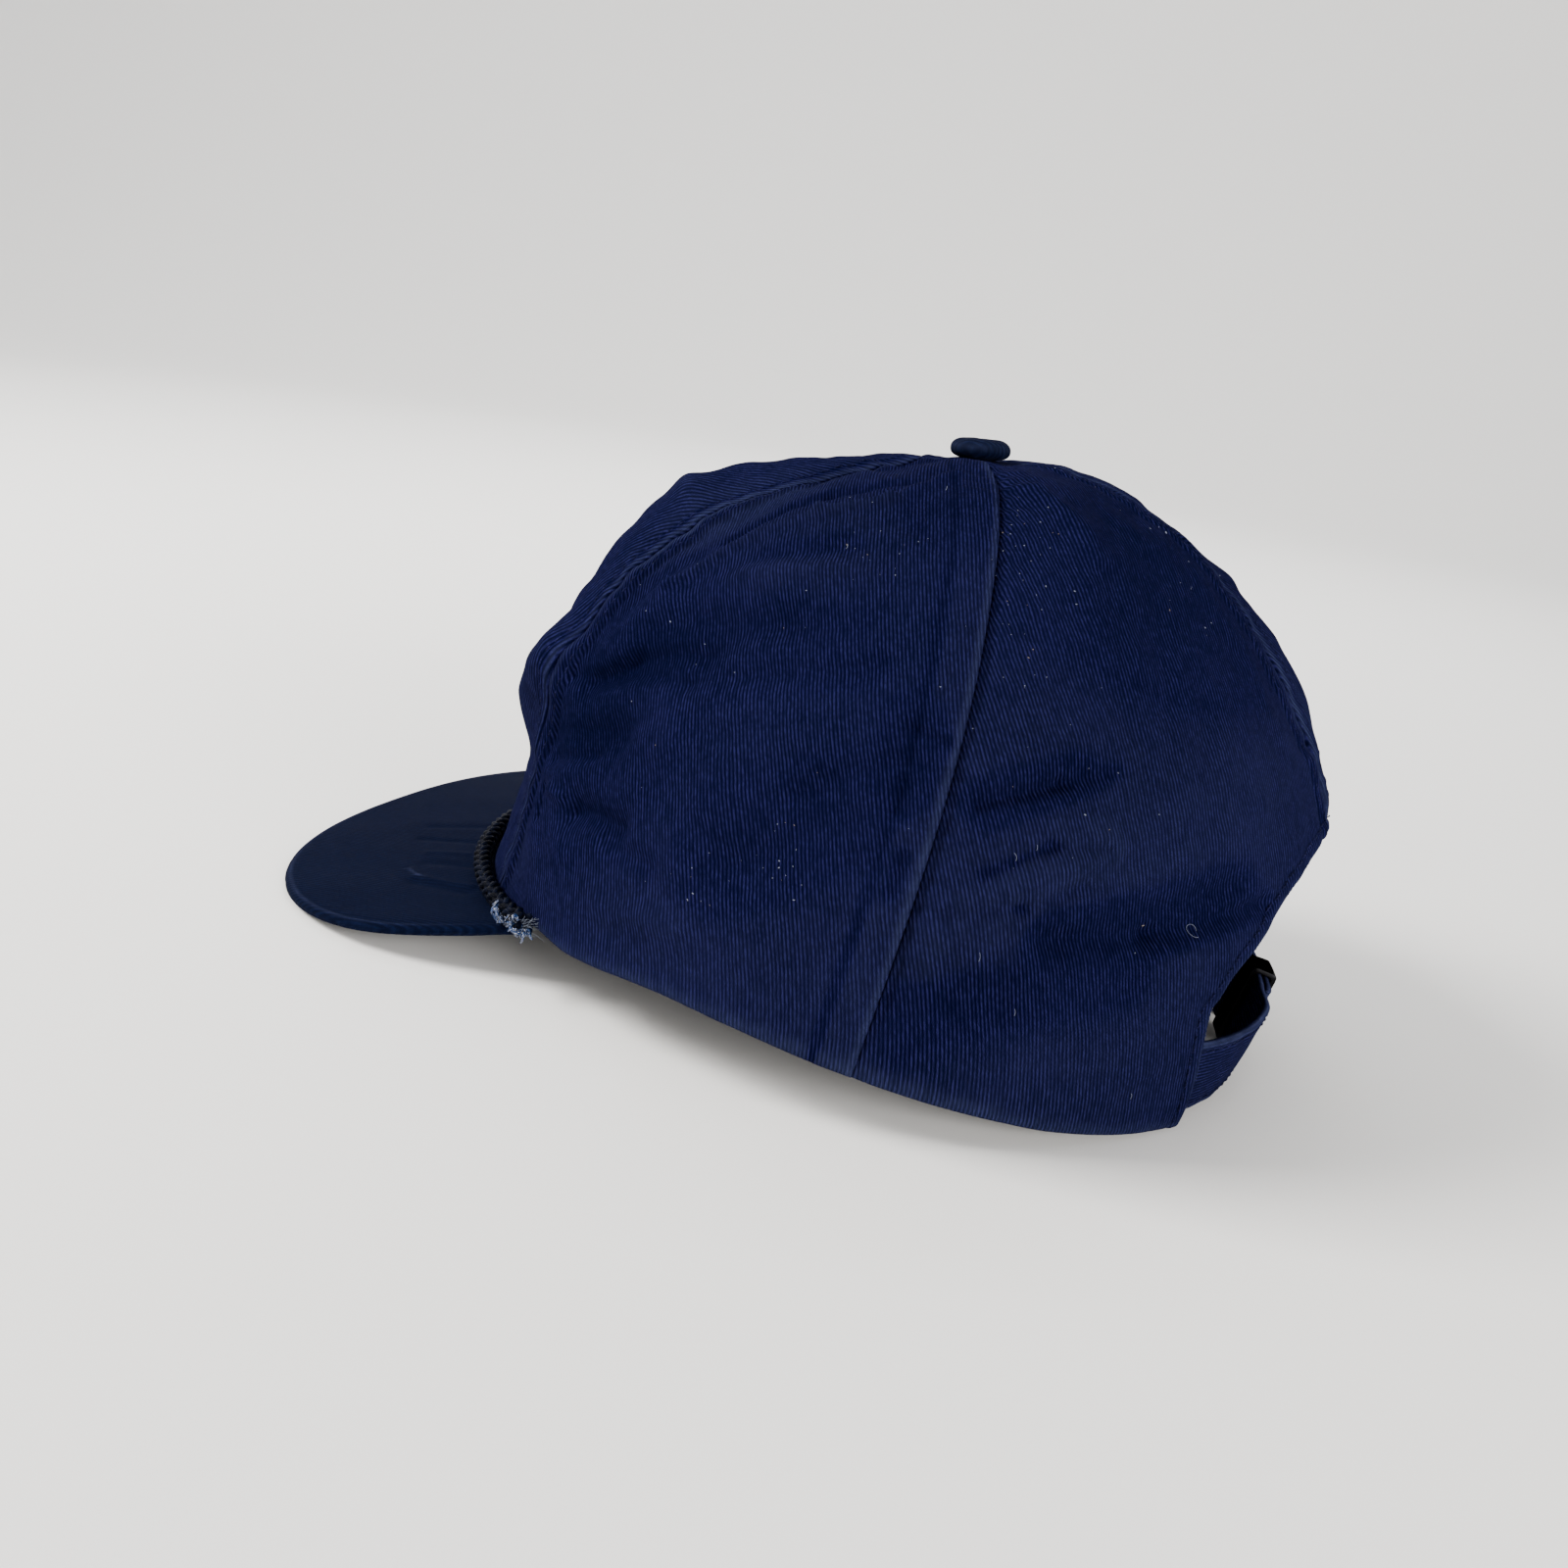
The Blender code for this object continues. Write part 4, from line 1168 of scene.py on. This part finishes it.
def stitch_row(azimuths, shares, rise=0.0):
    """Stitches along a line on the crown, so far above its cloth."""
    line = laid(cloth_point(azimuths, shares, -rise))
    return stitches(line, tipped(crown_normal(azimuths, shares), REST_TILT))


def add_seam_stitches(material):
    """Stitch lines beside the seams and round the back opening."""
    rows = []
    ups = np.linspace(*SEAM_STITCHED, SEAM_STEPS)
    for seam, side in itertools.product(SEAMS, (-1, 1)):
        low = opening(FAR_STEP)[0][-1] + STITCHED_ABOVE_ARCH if seam.azimuth == math.pi else 0
        shares = low + (1 - low) * ups
        reach = reach_at(np.full_like(shares, seam.azimuth), shares)
        for away in (-seam.stitch_before, seam.stitch_after):
            if away:
                rows.append(stitch_row(side * (seam.azimuth + away / reach), shares))
    for side in (-1, 1):
        shares, widths = opening(FAR_STEP, HEM)
        azimuths = side * azimuth_beside_back(widths, shares)
        rows.append(stitch_row(azimuths[4:], shares[4:], HEM_RISE))
    join_surfaces("crown_stitches", rows, material)


def peak_outline(across):
    """The peak's free edge, across from -1 to 1 between its corners."""
    corner_across, corner_along, corner_radius = base_ray(PEAK_CORNER)
    corner_x = corner_radius * corner_across
    corner_y = corner_radius * corner_along - SEAM_CENTRE_AHEAD
    turn = across * math.pi / 2
    x = PEAK_HALF_WIDTH * powered(np.sin(turn), PEAK_SQUARENESS)
    length = corner_y + HALF_LENGTH + PEAK_LENGTH
    y = corner_y - length * np.cos(turn).clip(0) ** PEAK_SQUARENESS
    at_corner = np.abs(across) ** PEAK_CORNER_TURN
    return x * (1 - at_corner) + np.sign(across) * corner_x * at_corner, y


def off_peak_edge(x, y, x_edge, y_edge):
    """Distance of the peak's points to its free edge, seen from above."""
    line = grouped(x_edge, y_edge, 0.0)
    numbers = np.arange(len(line))
    line = sampled(np.linspace(0, numbers[-1], 8 * len(line)), numbers, line)
    return distance_to(grouped(x, y, 0.0), line)


def crease_place(across, along):
    """A place on the peak, from shares of its half width and its length."""
    y = PEAK_SAG * across**2 - HALF_LENGTH - along * PEAK_LENGTH
    return np.array([across * PEAK_HALF_WIDTH, y])


def creased(x, y):
    """Height of the creases of the peak's cover."""
    raised = np.zeros_like(x)
    sunk = np.zeros_like(x)
    for crease in CREASES:
        start = crease_place(crease.x, crease.y)
        run = crease_place(crease.end_x, crease.end_y) - start
        moved = crease.rise * hump(off_segment(x - start[0], y - start[1], run), crease.reach)
        raised = np.maximum(raised, moved)
        sunk = np.minimum(sunk, moved)
    return raised + sunk


def add_peak(material):
    """The peak's cover, rolled round its edge, with a fine groove beside the edge."""
    across = np.linspace(-1, 1, 2 * round(PEAK_EDGE_LENGTH / 2 / PEAK_STEP) + 1)
    ray_across, ray_along, radius = base_ray(across * PEAK_CORNER)
    x_inner = (radius - CLOTH) * ray_across
    y_inner = (radius - CLOTH) * ray_along - SEAM_CENTRE_AHEAD
    x_edge, y_edge = peak_outline(across)
    width = np.hypot(x_edge - x_inner, y_edge - y_inner)
    part = spread(PEAK_LENGTH, PEAK_STEP, start=0)[:, None]
    x = x_inner + (x_edge - x_inner) * part
    y = y_inner + (y_edge - y_inner) * part
    places = grouped(x, y)
    edge = off_peak_edge(x, y, x_edge, y_edge)
    bend = roll(edge, PEAK_ROLL) * PEAK_THICKNESS / 2 / PEAK_ROLL
    line = PEAK_GROOVE * groove(edge - PEAK_GROOVE_IN) * (width > PEAK_GROOVE_FROM)
    level = smooth_step((1 - part) * width / PEAK_LEVEL_RIM)
    creases = creased(x, y)
    up = (creases + PEAK_UNEVEN[0] * waves(places, PEAK_UNEVEN[1], 11)) * level
    under = PEAK_UNDER_UNEVEN[0] * waves(places, PEAK_UNDER_UNEVEN[1], 14) * level
    top = grouped(x, y, peak_top(x, y) + up - line - bend)
    bottom = grouped(x, y, peak_top(x, y) - PEAK_THICKNESS + bend + under + line)
    loop = np.concatenate([top, bottom[-2::-1]])
    rows, columns = loop.shape[:2]
    faces = grid_faces(rows, columns)
    last = (rows - 1) * columns
    for column in range(columns - 1):
        faces.append((column, last + column, last + column + 1, column + 1))
    faces += [tuple(range(first, rows * columns, columns)) for first in (0, columns - 1)]
    # The rim is lighter, worn and painted highlight, and less so underneath
    wear_and_shade = PEAK_RIM_WORN_AND_HIGHLIT * hump(np.concatenate([edge, edge[-2::-1]]) - PEAK_RIM, PEAK_WEAR)
    wear_and_shade[len(top) :] *= PEAK_UNDER_WORN
    raised = (creases / CREASE_WORN_AT).clip(0, 1) ** 3
    # Creases are worn lighter; elsewhere the cover gets painted shade near the crown and the rope
    kept = PEAK_SHADE_BY_CROWN * np.exp(-part * width / PEAK_SHADE_REACH)
    wear_and_shade[: len(top)] += CREASE_WORN * raised - kept * (1 - raised)
    points = laid(loop.reshape(-1, 3))
    uvs = loop[..., :2].reshape(-1, 2)
    add_surface("peak_cover", points, faces, uvs, material, ["peak"], wear_and_shade.ravel())


def rope_route():
    """The rope's middle line, laid in the corner between the crown and the peak."""
    azimuth = np.linspace(-1, 1, ROPE_STEPS) * (PEAK_CORNER + ROPE_PAST_CORNER)
    across, along, radius = base_ray(azimuth)
    off = ROPE_DIAMETER / 2 + SEAM_GAP
    x = (radius + off) * across
    y = (radius + off) * along - SEAM_CENTRE_AHEAD
    return laid(grouped(x, y, peak_top(x, y) + off / math.cos(PEAK_SLOPE)))


def add_braid(material, chance):
    """A round braid over a core, coming loose at the end on the wearer's left."""
    route = rope_route()
    _, beside, over = directions(route, (0, 0, 1))
    run = run_along(route)
    loose = smooth_step((run - run[-1] + FRAY_LENGTH) / FRAY_LENGTH)
    parts = [tube(route[:-6], CORE_RADIUS, CORE_SIDES)]
    for way, strand in itertools.product((-1, 1), range(ROPE_STRANDS)):
        turn = math.tau * (way * run / ROPE_PITCH + strand / ROPE_STRANDS)
        crossed = 2 * way * ROPE_STRANDS * run / ROPE_PITCH + 2 * strand
        out = CORE_RADIUS + STRAND_CROSSING * way * np.cos((crossed - 0.5) * math.pi / 2)
        out = out + loose * chance.uniform(*STRAND_LIFTED)
        turn = turn + loose * chance.uniform(*STRAND_TURNED)
        line = route + (np.cos(turn) * out)[:, None] * beside + (np.sin(turn) * out)[:, None] * over
        kept = len(line) - chance.integers(1, 9)
        parts.append(tube(line[:kept], STRAND_RADIUS, STRAND_SIDES, over[:kept]))
    join_surfaces("peak_rope_braid", parts, material, ["peak_rope"])


def add_fray(yarn, fuzz, chance):
    """Loops and hairs of yarn where the rope's end has come loose."""
    route = rope_route()
    ways, beside, over = directions(route, (0, 0, 1))
    step = run_along(route)[1]
    end = len(route) - 4
    loops = []
    for _ in range(FRAY_LOOPS):
        at = end - int(chance.uniform(0, 1) ** 1.4 * FRAY_LENGTH / step)
        tilt = chance.uniform(*FRAY_TILT)
        outward = math.cos(tilt) * beside[at] + math.sin(tilt) * over[at]
        start = route[at] + outward * (CORE_RADIUS + chance.uniform(0, 0.0006))
        lean = unit(outward + chance.normal(0, FRAY_LEAN, 3) + chance.uniform(-0.2, 0.8) * ways[at])
        side = unit(np.cross(lean, chance.normal(0, 1, 3)))
        size = chance.uniform(*FRAY_SIZE)
        turn = np.linspace(0, chance.uniform(*FRAY_BEND), FRAY_STEPS)[:, None]
        bow = 0.7 * (1 - np.cos(turn)) * lean + np.sin(turn) * side
        spot = start + bow * size + (turn / turn[-1]) ** 2 * chance.normal(0, 0.0003, 3)
        swell = np.sin(np.linspace(0.5, math.pi - 0.4, FRAY_STEPS)) ** 0.5
        thick = FRAY_RADIUS * chance.uniform(0.7, 1.2) * swell
        loops.append(tube(spot, thick, STRAND_SIDES, 0.3 * lean - ways[end]))
    join_surfaces("rope_fray_loops", loops, yarn)
    hairs = []
    for _ in range(FRAY_HAIRS):
        start = route[end] + chance.normal(0, HAIRS_SPREAD, 3)
        lean = ways[end] * chance.uniform(0.2, 1.0) + chance.normal(0, 0.7, 3) * (1, 1, 0.5)
        bend = chance.normal(0, HAIR_BEND, 3)
        far = np.linspace(0, 1, 7)[:, None] * chance.uniform(*HAIR_LENGTH)
        hairs.append(tube(start + far * unit(lean) + far**2 * bend, FIBRE_RADIUS, 3))
    join_surfaces("rope_fray_fuzz", hairs, fuzz)


def add_button(material):
    """The covered button: cloth drawn tight over a flattened dome, pleated underneath."""
    turn = np.linspace(-math.pi / 2, math.pi / 2, BUTTON_ROWS + 2)[1:-1]
    around = angles(BUTTON_SIDES)
    out = BUTTON_DIAMETER / 2 * np.cos(turn).clip(0) ** BUTTON_ROUND_OUT
    up = BUTTON_HEIGHT / 2 * (1 + powered(np.sin(turn), BUTTON_ROUND_UP))
    pleats = sum(depth * np.sin(count * around + start) for depth, count, start in PLEATS)
    radius = out[:, None] + np.clip(PLEATED_UP_TO - np.sin(turn), 0, 1)[:, None] * pleats
    ring = grouped(radius * np.cos(around), radius * np.sin(around), up[:, None])
    ring[..., 2] += BUTTON_UNEVEN[0] * waves(ring, BUTTON_UNEVEN[1], 21)
    points = np.concatenate([[[0, 0, 0]], ring.reshape(-1, 3), [[0, 0, BUTTON_HEIGHT]]])
    faces = grid_faces(len(turn), BUTTON_SIDES, 1, closed=True)
    last = 1 + (len(turn) - 1) * BUTTON_SIDES
    for side in range(BUTTON_SIDES):
        beside = (side + 1) % BUTTON_SIDES
        faces.append((0, 1 + beside, 1 + side))
        faces.append((last + side, last + beside, len(points) - 1))
    seat = (0, -SEAM_CENTRE_AHEAD, CROWN_HEIGHT + SEAM_GAP / math.cos(TOP_LEAN))
    placed = laid(tipped(points, -TOP_LEAN) + seat)
    wear_and_shade = ALL_WORN + BUTTON_WORN * hump(points[:, 2] - BUTTON_WORN_AT, BUTTON_WEAR)
    uvs = points[:, :2]
    add_surface("top_button_cover", placed, faces, uvs, material, ["top_button"], wear_and_shade)


def strap_points(azimuths, rows, depth):
    """Points of the strap, rows from its lower to its upper edge, and the ways out of it."""
    azimuths = np.broadcast_to(azimuths, (len(rows), len(azimuths)))
    shares = share_at_height(azimuths, STRAP_LIFT + STRAP_WIDTH * rows[:, None])
    into_opening = ARCH_FOOT_WIDTH / 2 - np.abs(azimuths - math.pi) * BACK_REACH
    kept = 1 - smooth_step(into_opening / STRAP_FREE_AFTER)
    return crown_point(azimuths, shares, depth, kept), crown_normal(azimuths, shares)


def add_strap(node, first, last, under, material, seed):
    """A strap of folded twill with rounded edges; gives the stitch lines along them."""
    length = (last - first) * BACK_REACH
    azimuths = first + (last - first) * spread(length, FAR_STEP)
    rows = spread(STRAP_WIDTH, STRAP_STEP)
    inward = smooth_step((azimuths - SLIDE_AT) / OVERLAP_TURN + 2)
    depth = STRAP_DEPTH + under * (STRAP_THICKNESS + SEAM_GAP) * inward
    outer, normals = strap_points(azimuths, rows, depth)
    along = (azimuths - first) * BACK_REACH
    uvs = grouped(rows[:, None] * STRAP_WIDTH, along)
    across, along = np.moveaxis(uvs, -1, 0)
    off = np.minimum(across, STRAP_WIDTH - across)
    edge = np.minimum(off, np.minimum(along, length - along))
    uneven = STRAP_UNEVEN[0] * waves(outer, STRAP_UNEVEN[1], seed)
    drop = roll(edge, STRAP_THICKNESS / 2) + STRAP_GROOVE * groove(off - STRAP_STITCH) - uneven
    outer = outer - drop[..., None] * normals
    behind = depth[EVERY_FEW] + STRAP_THICKNESS
    inner = strap_points(azimuths[EVERY_FEW], rows[EVERY_FEW], behind)[0]
    wear_and_shade = STRAP_EDGE_WORN * hump(edge, EDGE_WEAR) + STRAP_WORN
    add_wall(node + "_cloth", outer, inner, uvs, material, wear_and_shade, node)
    lines = []
    for row in (STRAP_STITCH / STRAP_WIDTH, 1 - STRAP_STITCH / STRAP_WIDTH):
        line, up = strap_points(azimuths[2:-2], np.array([row]), depth[2:-2])
        lines.append(stitches(laid(line[0]), tipped(up[0], REST_TILT)))
    return lines


def add_straps(cloth, thread):
    """The long strap from the wearer's left and the short one that covers its end."""
    lines = add_strap("strap_long", math.pi - SEWN_TURN, SLIDE_AT + OVERLAP_TURN, 1, cloth, 31)
    lines += add_strap("strap_short", SLIDE_AT - OVERLAP_TURN, math.pi + SEWN_TURN, 0, cloth, 32)
    join_surfaces("strap_stitches", lines, thread)


def slide_ring(place, room):
    """The slide's section, from -1 to 1 along it, so far outside both straps."""
    azimuth = SLIDE_AT + SLIDE_TURN * place
    turn = angles(SLIDE_SIDES)[:, None]
    share = share_at_height(azimuth, STRAP_LIFT + STRAP_WIDTH / 2)
    normal = crown_normal(azimuth, share)
    across = unit(np.cross(normal, np.cross((0.0, 0.0, 1.0), normal)))
    deep = STRAP_THICKNESS + SEAM_GAP / 2
    out = (deep + room) * powered(np.cos(turn), SLIDE_ROUND_OUT) - STRAP_DEPTH - deep
    up = (STRAP_WIDTH / 2 + room) * powered(np.sin(turn), SLIDE_ROUND_UP)
    return smooth_crown(azimuth, share) + out * normal + up * across


def add_slide(material):
    """A rounded metal sleeve round both straps."""
    inner = [slide_ring(place, SLIDE_ROOM) for place, _ in SLIDE_SHAPE]
    outer = [slide_ring(place, SLIDE_ROOM + SLIDE_WALL * wall) for place, wall in SLIDE_SHAPE]
    loop = np.array(inner + outer[::-1])
    faces = grid_faces(len(loop), SLIDE_SIDES, closed=True)
    last = (len(loop) - 1) * SLIDE_SIDES
    for side in range(SLIDE_SIDES):
        beside = (side + 1) % SLIDE_SIDES
        faces.append((side, last + side, last + beside, beside))
    points = laid(loop.reshape(-1, 3))
    uvs = points[:, [0, 2]]
    node = "strap_slide"
    add_surface(node + "_metal", points, faces, uvs, material, [node], sharp=SLIDE_SHARP)


def add_lint(pale, tan):
    """Single fibres and small specks that cling to the twill."""
    chance = np.random.default_rng(5)
    fibres = []
    for fibre in FIBRES:
        turn = np.linspace(0, fibre.curl, 22)
        size = fibre.length / fibre.curl
        azimuth = math.radians(fibre.azimuth) + size * (np.cos(turn) + 0.1 * turn) / HALF_WIDTH
        share = fibre.share + size * np.sin(turn) / flat_place(0.0, 1.0)[1]
        lift = FIBRE_LIFT + FIBRE_WAVE * np.sin(turn * 1.7)
        line = laid(cloth_point(azimuth, share, -lift))
        fibres.append(tube(line, FIBRE_RADIUS, 4))
    join_surfaces("lint_fibres", fibres, pale)
    for name, material, share_of_all in (("lint_pale", pale, 0.8), ("lint_tan", tan, 0.2)):
        specks = []
        for patch in PATCHES:
            count = max(1, round(patch.count * share_of_all))
            azimuth = np.radians(chance.normal(patch.azimuth, patch.turn / 2, count))
            share = np.clip(chance.normal(patch.share, patch.rise / 2, count), 0.02, 0.96)
            spots = laid(cloth_point(azimuth, share, -SPECK_LIFT))
            ups = tipped(crown_normal(azimuth, share), REST_TILT)
            for spot, up in zip(spots, ups):
                size = SPECK * chance.uniform(0.5, 1.5) * (1.5 if chance.random() < 0.1 else 1)
                way = unit(np.cross(up, chance.normal(size=3)))
                line = spot + np.outer([-0.5, 0, 0.5], way * size * chance.uniform(1, SPECK_STRETCH))
                specks.append(tube(line, size * SPECK_SHAPE, 5, up))
        join_surfaces(name, specks, material)


def way_to(azimuth, elevation):
    """Unit vector from the cap towards an azimuth and an elevation."""
    level = math.cos(elevation)
    return Vector((math.sin(azimuth) * level, -math.cos(azimuth) * level, math.sin(elevation)))


def add_camera():
    """The photo's viewing angle, kept just above the floor that the cap rests on."""
    back = way_to(VIEW_AZIMUTH, VIEW_ELEVATION)
    right = (-back).cross(Vector((0, 0, 1))).normalized()
    up = back.cross(right)
    turned_right = right * math.cos(VIEW_ROLL) - up * math.sin(VIEW_ROLL)
    turned_up = up * math.cos(VIEW_ROLL) + right * math.sin(VIEW_ROLL)
    data = bpy.data.cameras.new("camera")
    data.sensor_width = SENSOR_MM
    data.lens = LENS_MM
    data.clip_start = SEEN_FROM
    data.clip_end = SEEN_TO
    camera = add_object("camera", data)
    turn = Matrix((turned_right, turned_up, back)).transposed().to_4x4()
    camera.matrix_world = Matrix.Translation(CAMERA_AT) @ turn
    bpy.context.scene.camera = camera


def add_light(name, azimuth, elevation, distance, size, watts, colour, reach):
    """A soft square light that faces the cap, or a place past it."""
    azimuth = math.radians(azimuth)
    data = bpy.data.lights.new(name, "AREA")
    data.size = size
    data.energy = watts
    data.color = colour
    light = add_object(name, data)
    middle = Vector((0, 0, CROWN_HEIGHT / 2))
    light.location = middle + way_to(azimuth, math.radians(elevation)) * distance
    aim = middle + way_to(azimuth, 0) * reach
    light.rotation_euler = (light.location - aim).to_track_quat("Z", "Y").to_euler()


def add_room(material):
    """A pale floor that sweeps up all round, and soft studio light."""
    bend = np.linspace(0, math.pi / 2, SWEEP_STEPS)
    out = np.concatenate([FLOOR_RINGS, FLOOR_RADIUS + SWEEP_RADIUS * np.sin(bend)])
    up = np.concatenate([[0, 0, 0], SWEEP_RADIUS * (1 - np.cos(bend))])
    out = np.append(out, out[-1])[:, None, None]
    up = np.append(up, up[-1] + WALL_HEIGHT)[:, None, None]
    points = rings(FLOOR_SIDES, np.array([1, 0, 0]), np.array([0, 1, 0])) * out + up * (0, 0, 1)
    faces = grid_faces(len(out), FLOOR_SIDES, closed=True) + [tuple(reversed(range(FLOOR_SIDES)))]
    mesh = bpy.data.meshes.new("floor")
    mesh.from_pydata(points.reshape(-1, 3).tolist(), [], faces)
    mesh.materials.append(material)
    mesh.shade_smooth()
    floor = add_object("floor", mesh)
    world = bpy.data.worlds.new("studio")
    world.use_nodes = True
    world.node_tree.nodes["Background"].inputs["Color"].default_value = WORLD_PALE
    world.node_tree.nodes["Background"].inputs["Strength"].default_value = WORLD_LIGHT
    bpy.context.scene.world = world
    for light in LIGHTS:
        add_light(*light)


def dress():
    """Camera, materials, all pieces of the cap and the room."""
    add_camera()
    twill = cloth_material("crown_twill", NAVY, NAVY_PALE, *CROWN_FINISH)
    cover = cloth_material("peak_twill", PEAK_NAVY, PEAK_PALE, *PEAK_FINISH)
    thread = yarn_material("thread_navy", THREAD_NAVY, NAVY_PALE, *THREAD_FINISH)
    yarn = yarn_material("rope_braid_yarn", ROPE_DARK, ROPE_PALE, *ROPE_FINISH)
    fray = yarn_material("rope_fray_yarn", FRAY_BLUE, FRAY_PALE, *FRAY_FINISH)
    fuzz = plain_material("rope_fuzz", FUZZ_GREY, *LINT_FINISH)
    white = plain_material("lint_white", LINT_PALE, *LINT_FINISH)
    straw = plain_material("lint_straw", LINT_TAN, *LINT_FINISH)
    for panel in PANELS:
        add_panel(panel, twill)
    add_seam_stitches(thread)
    add_peak(cover)
    chance = np.random.default_rng(7)
    add_braid(yarn, chance)
    add_fray(fray, fuzz, chance)
    add_button(cover)
    add_straps(twill, thread)
    add_slide(metal_material("slide_satin", SLIDE_METAL))
    add_lint(white, straw)
    add_room(plain_material("floor_paint", FLOOR_PALE, *FLOOR_FINISH))


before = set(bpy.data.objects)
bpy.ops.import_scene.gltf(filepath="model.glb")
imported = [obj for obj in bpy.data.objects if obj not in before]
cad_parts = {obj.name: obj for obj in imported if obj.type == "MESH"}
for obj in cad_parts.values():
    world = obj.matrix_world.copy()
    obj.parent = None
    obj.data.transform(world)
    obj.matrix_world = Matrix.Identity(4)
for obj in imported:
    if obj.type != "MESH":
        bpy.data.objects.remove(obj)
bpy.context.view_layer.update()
dress()
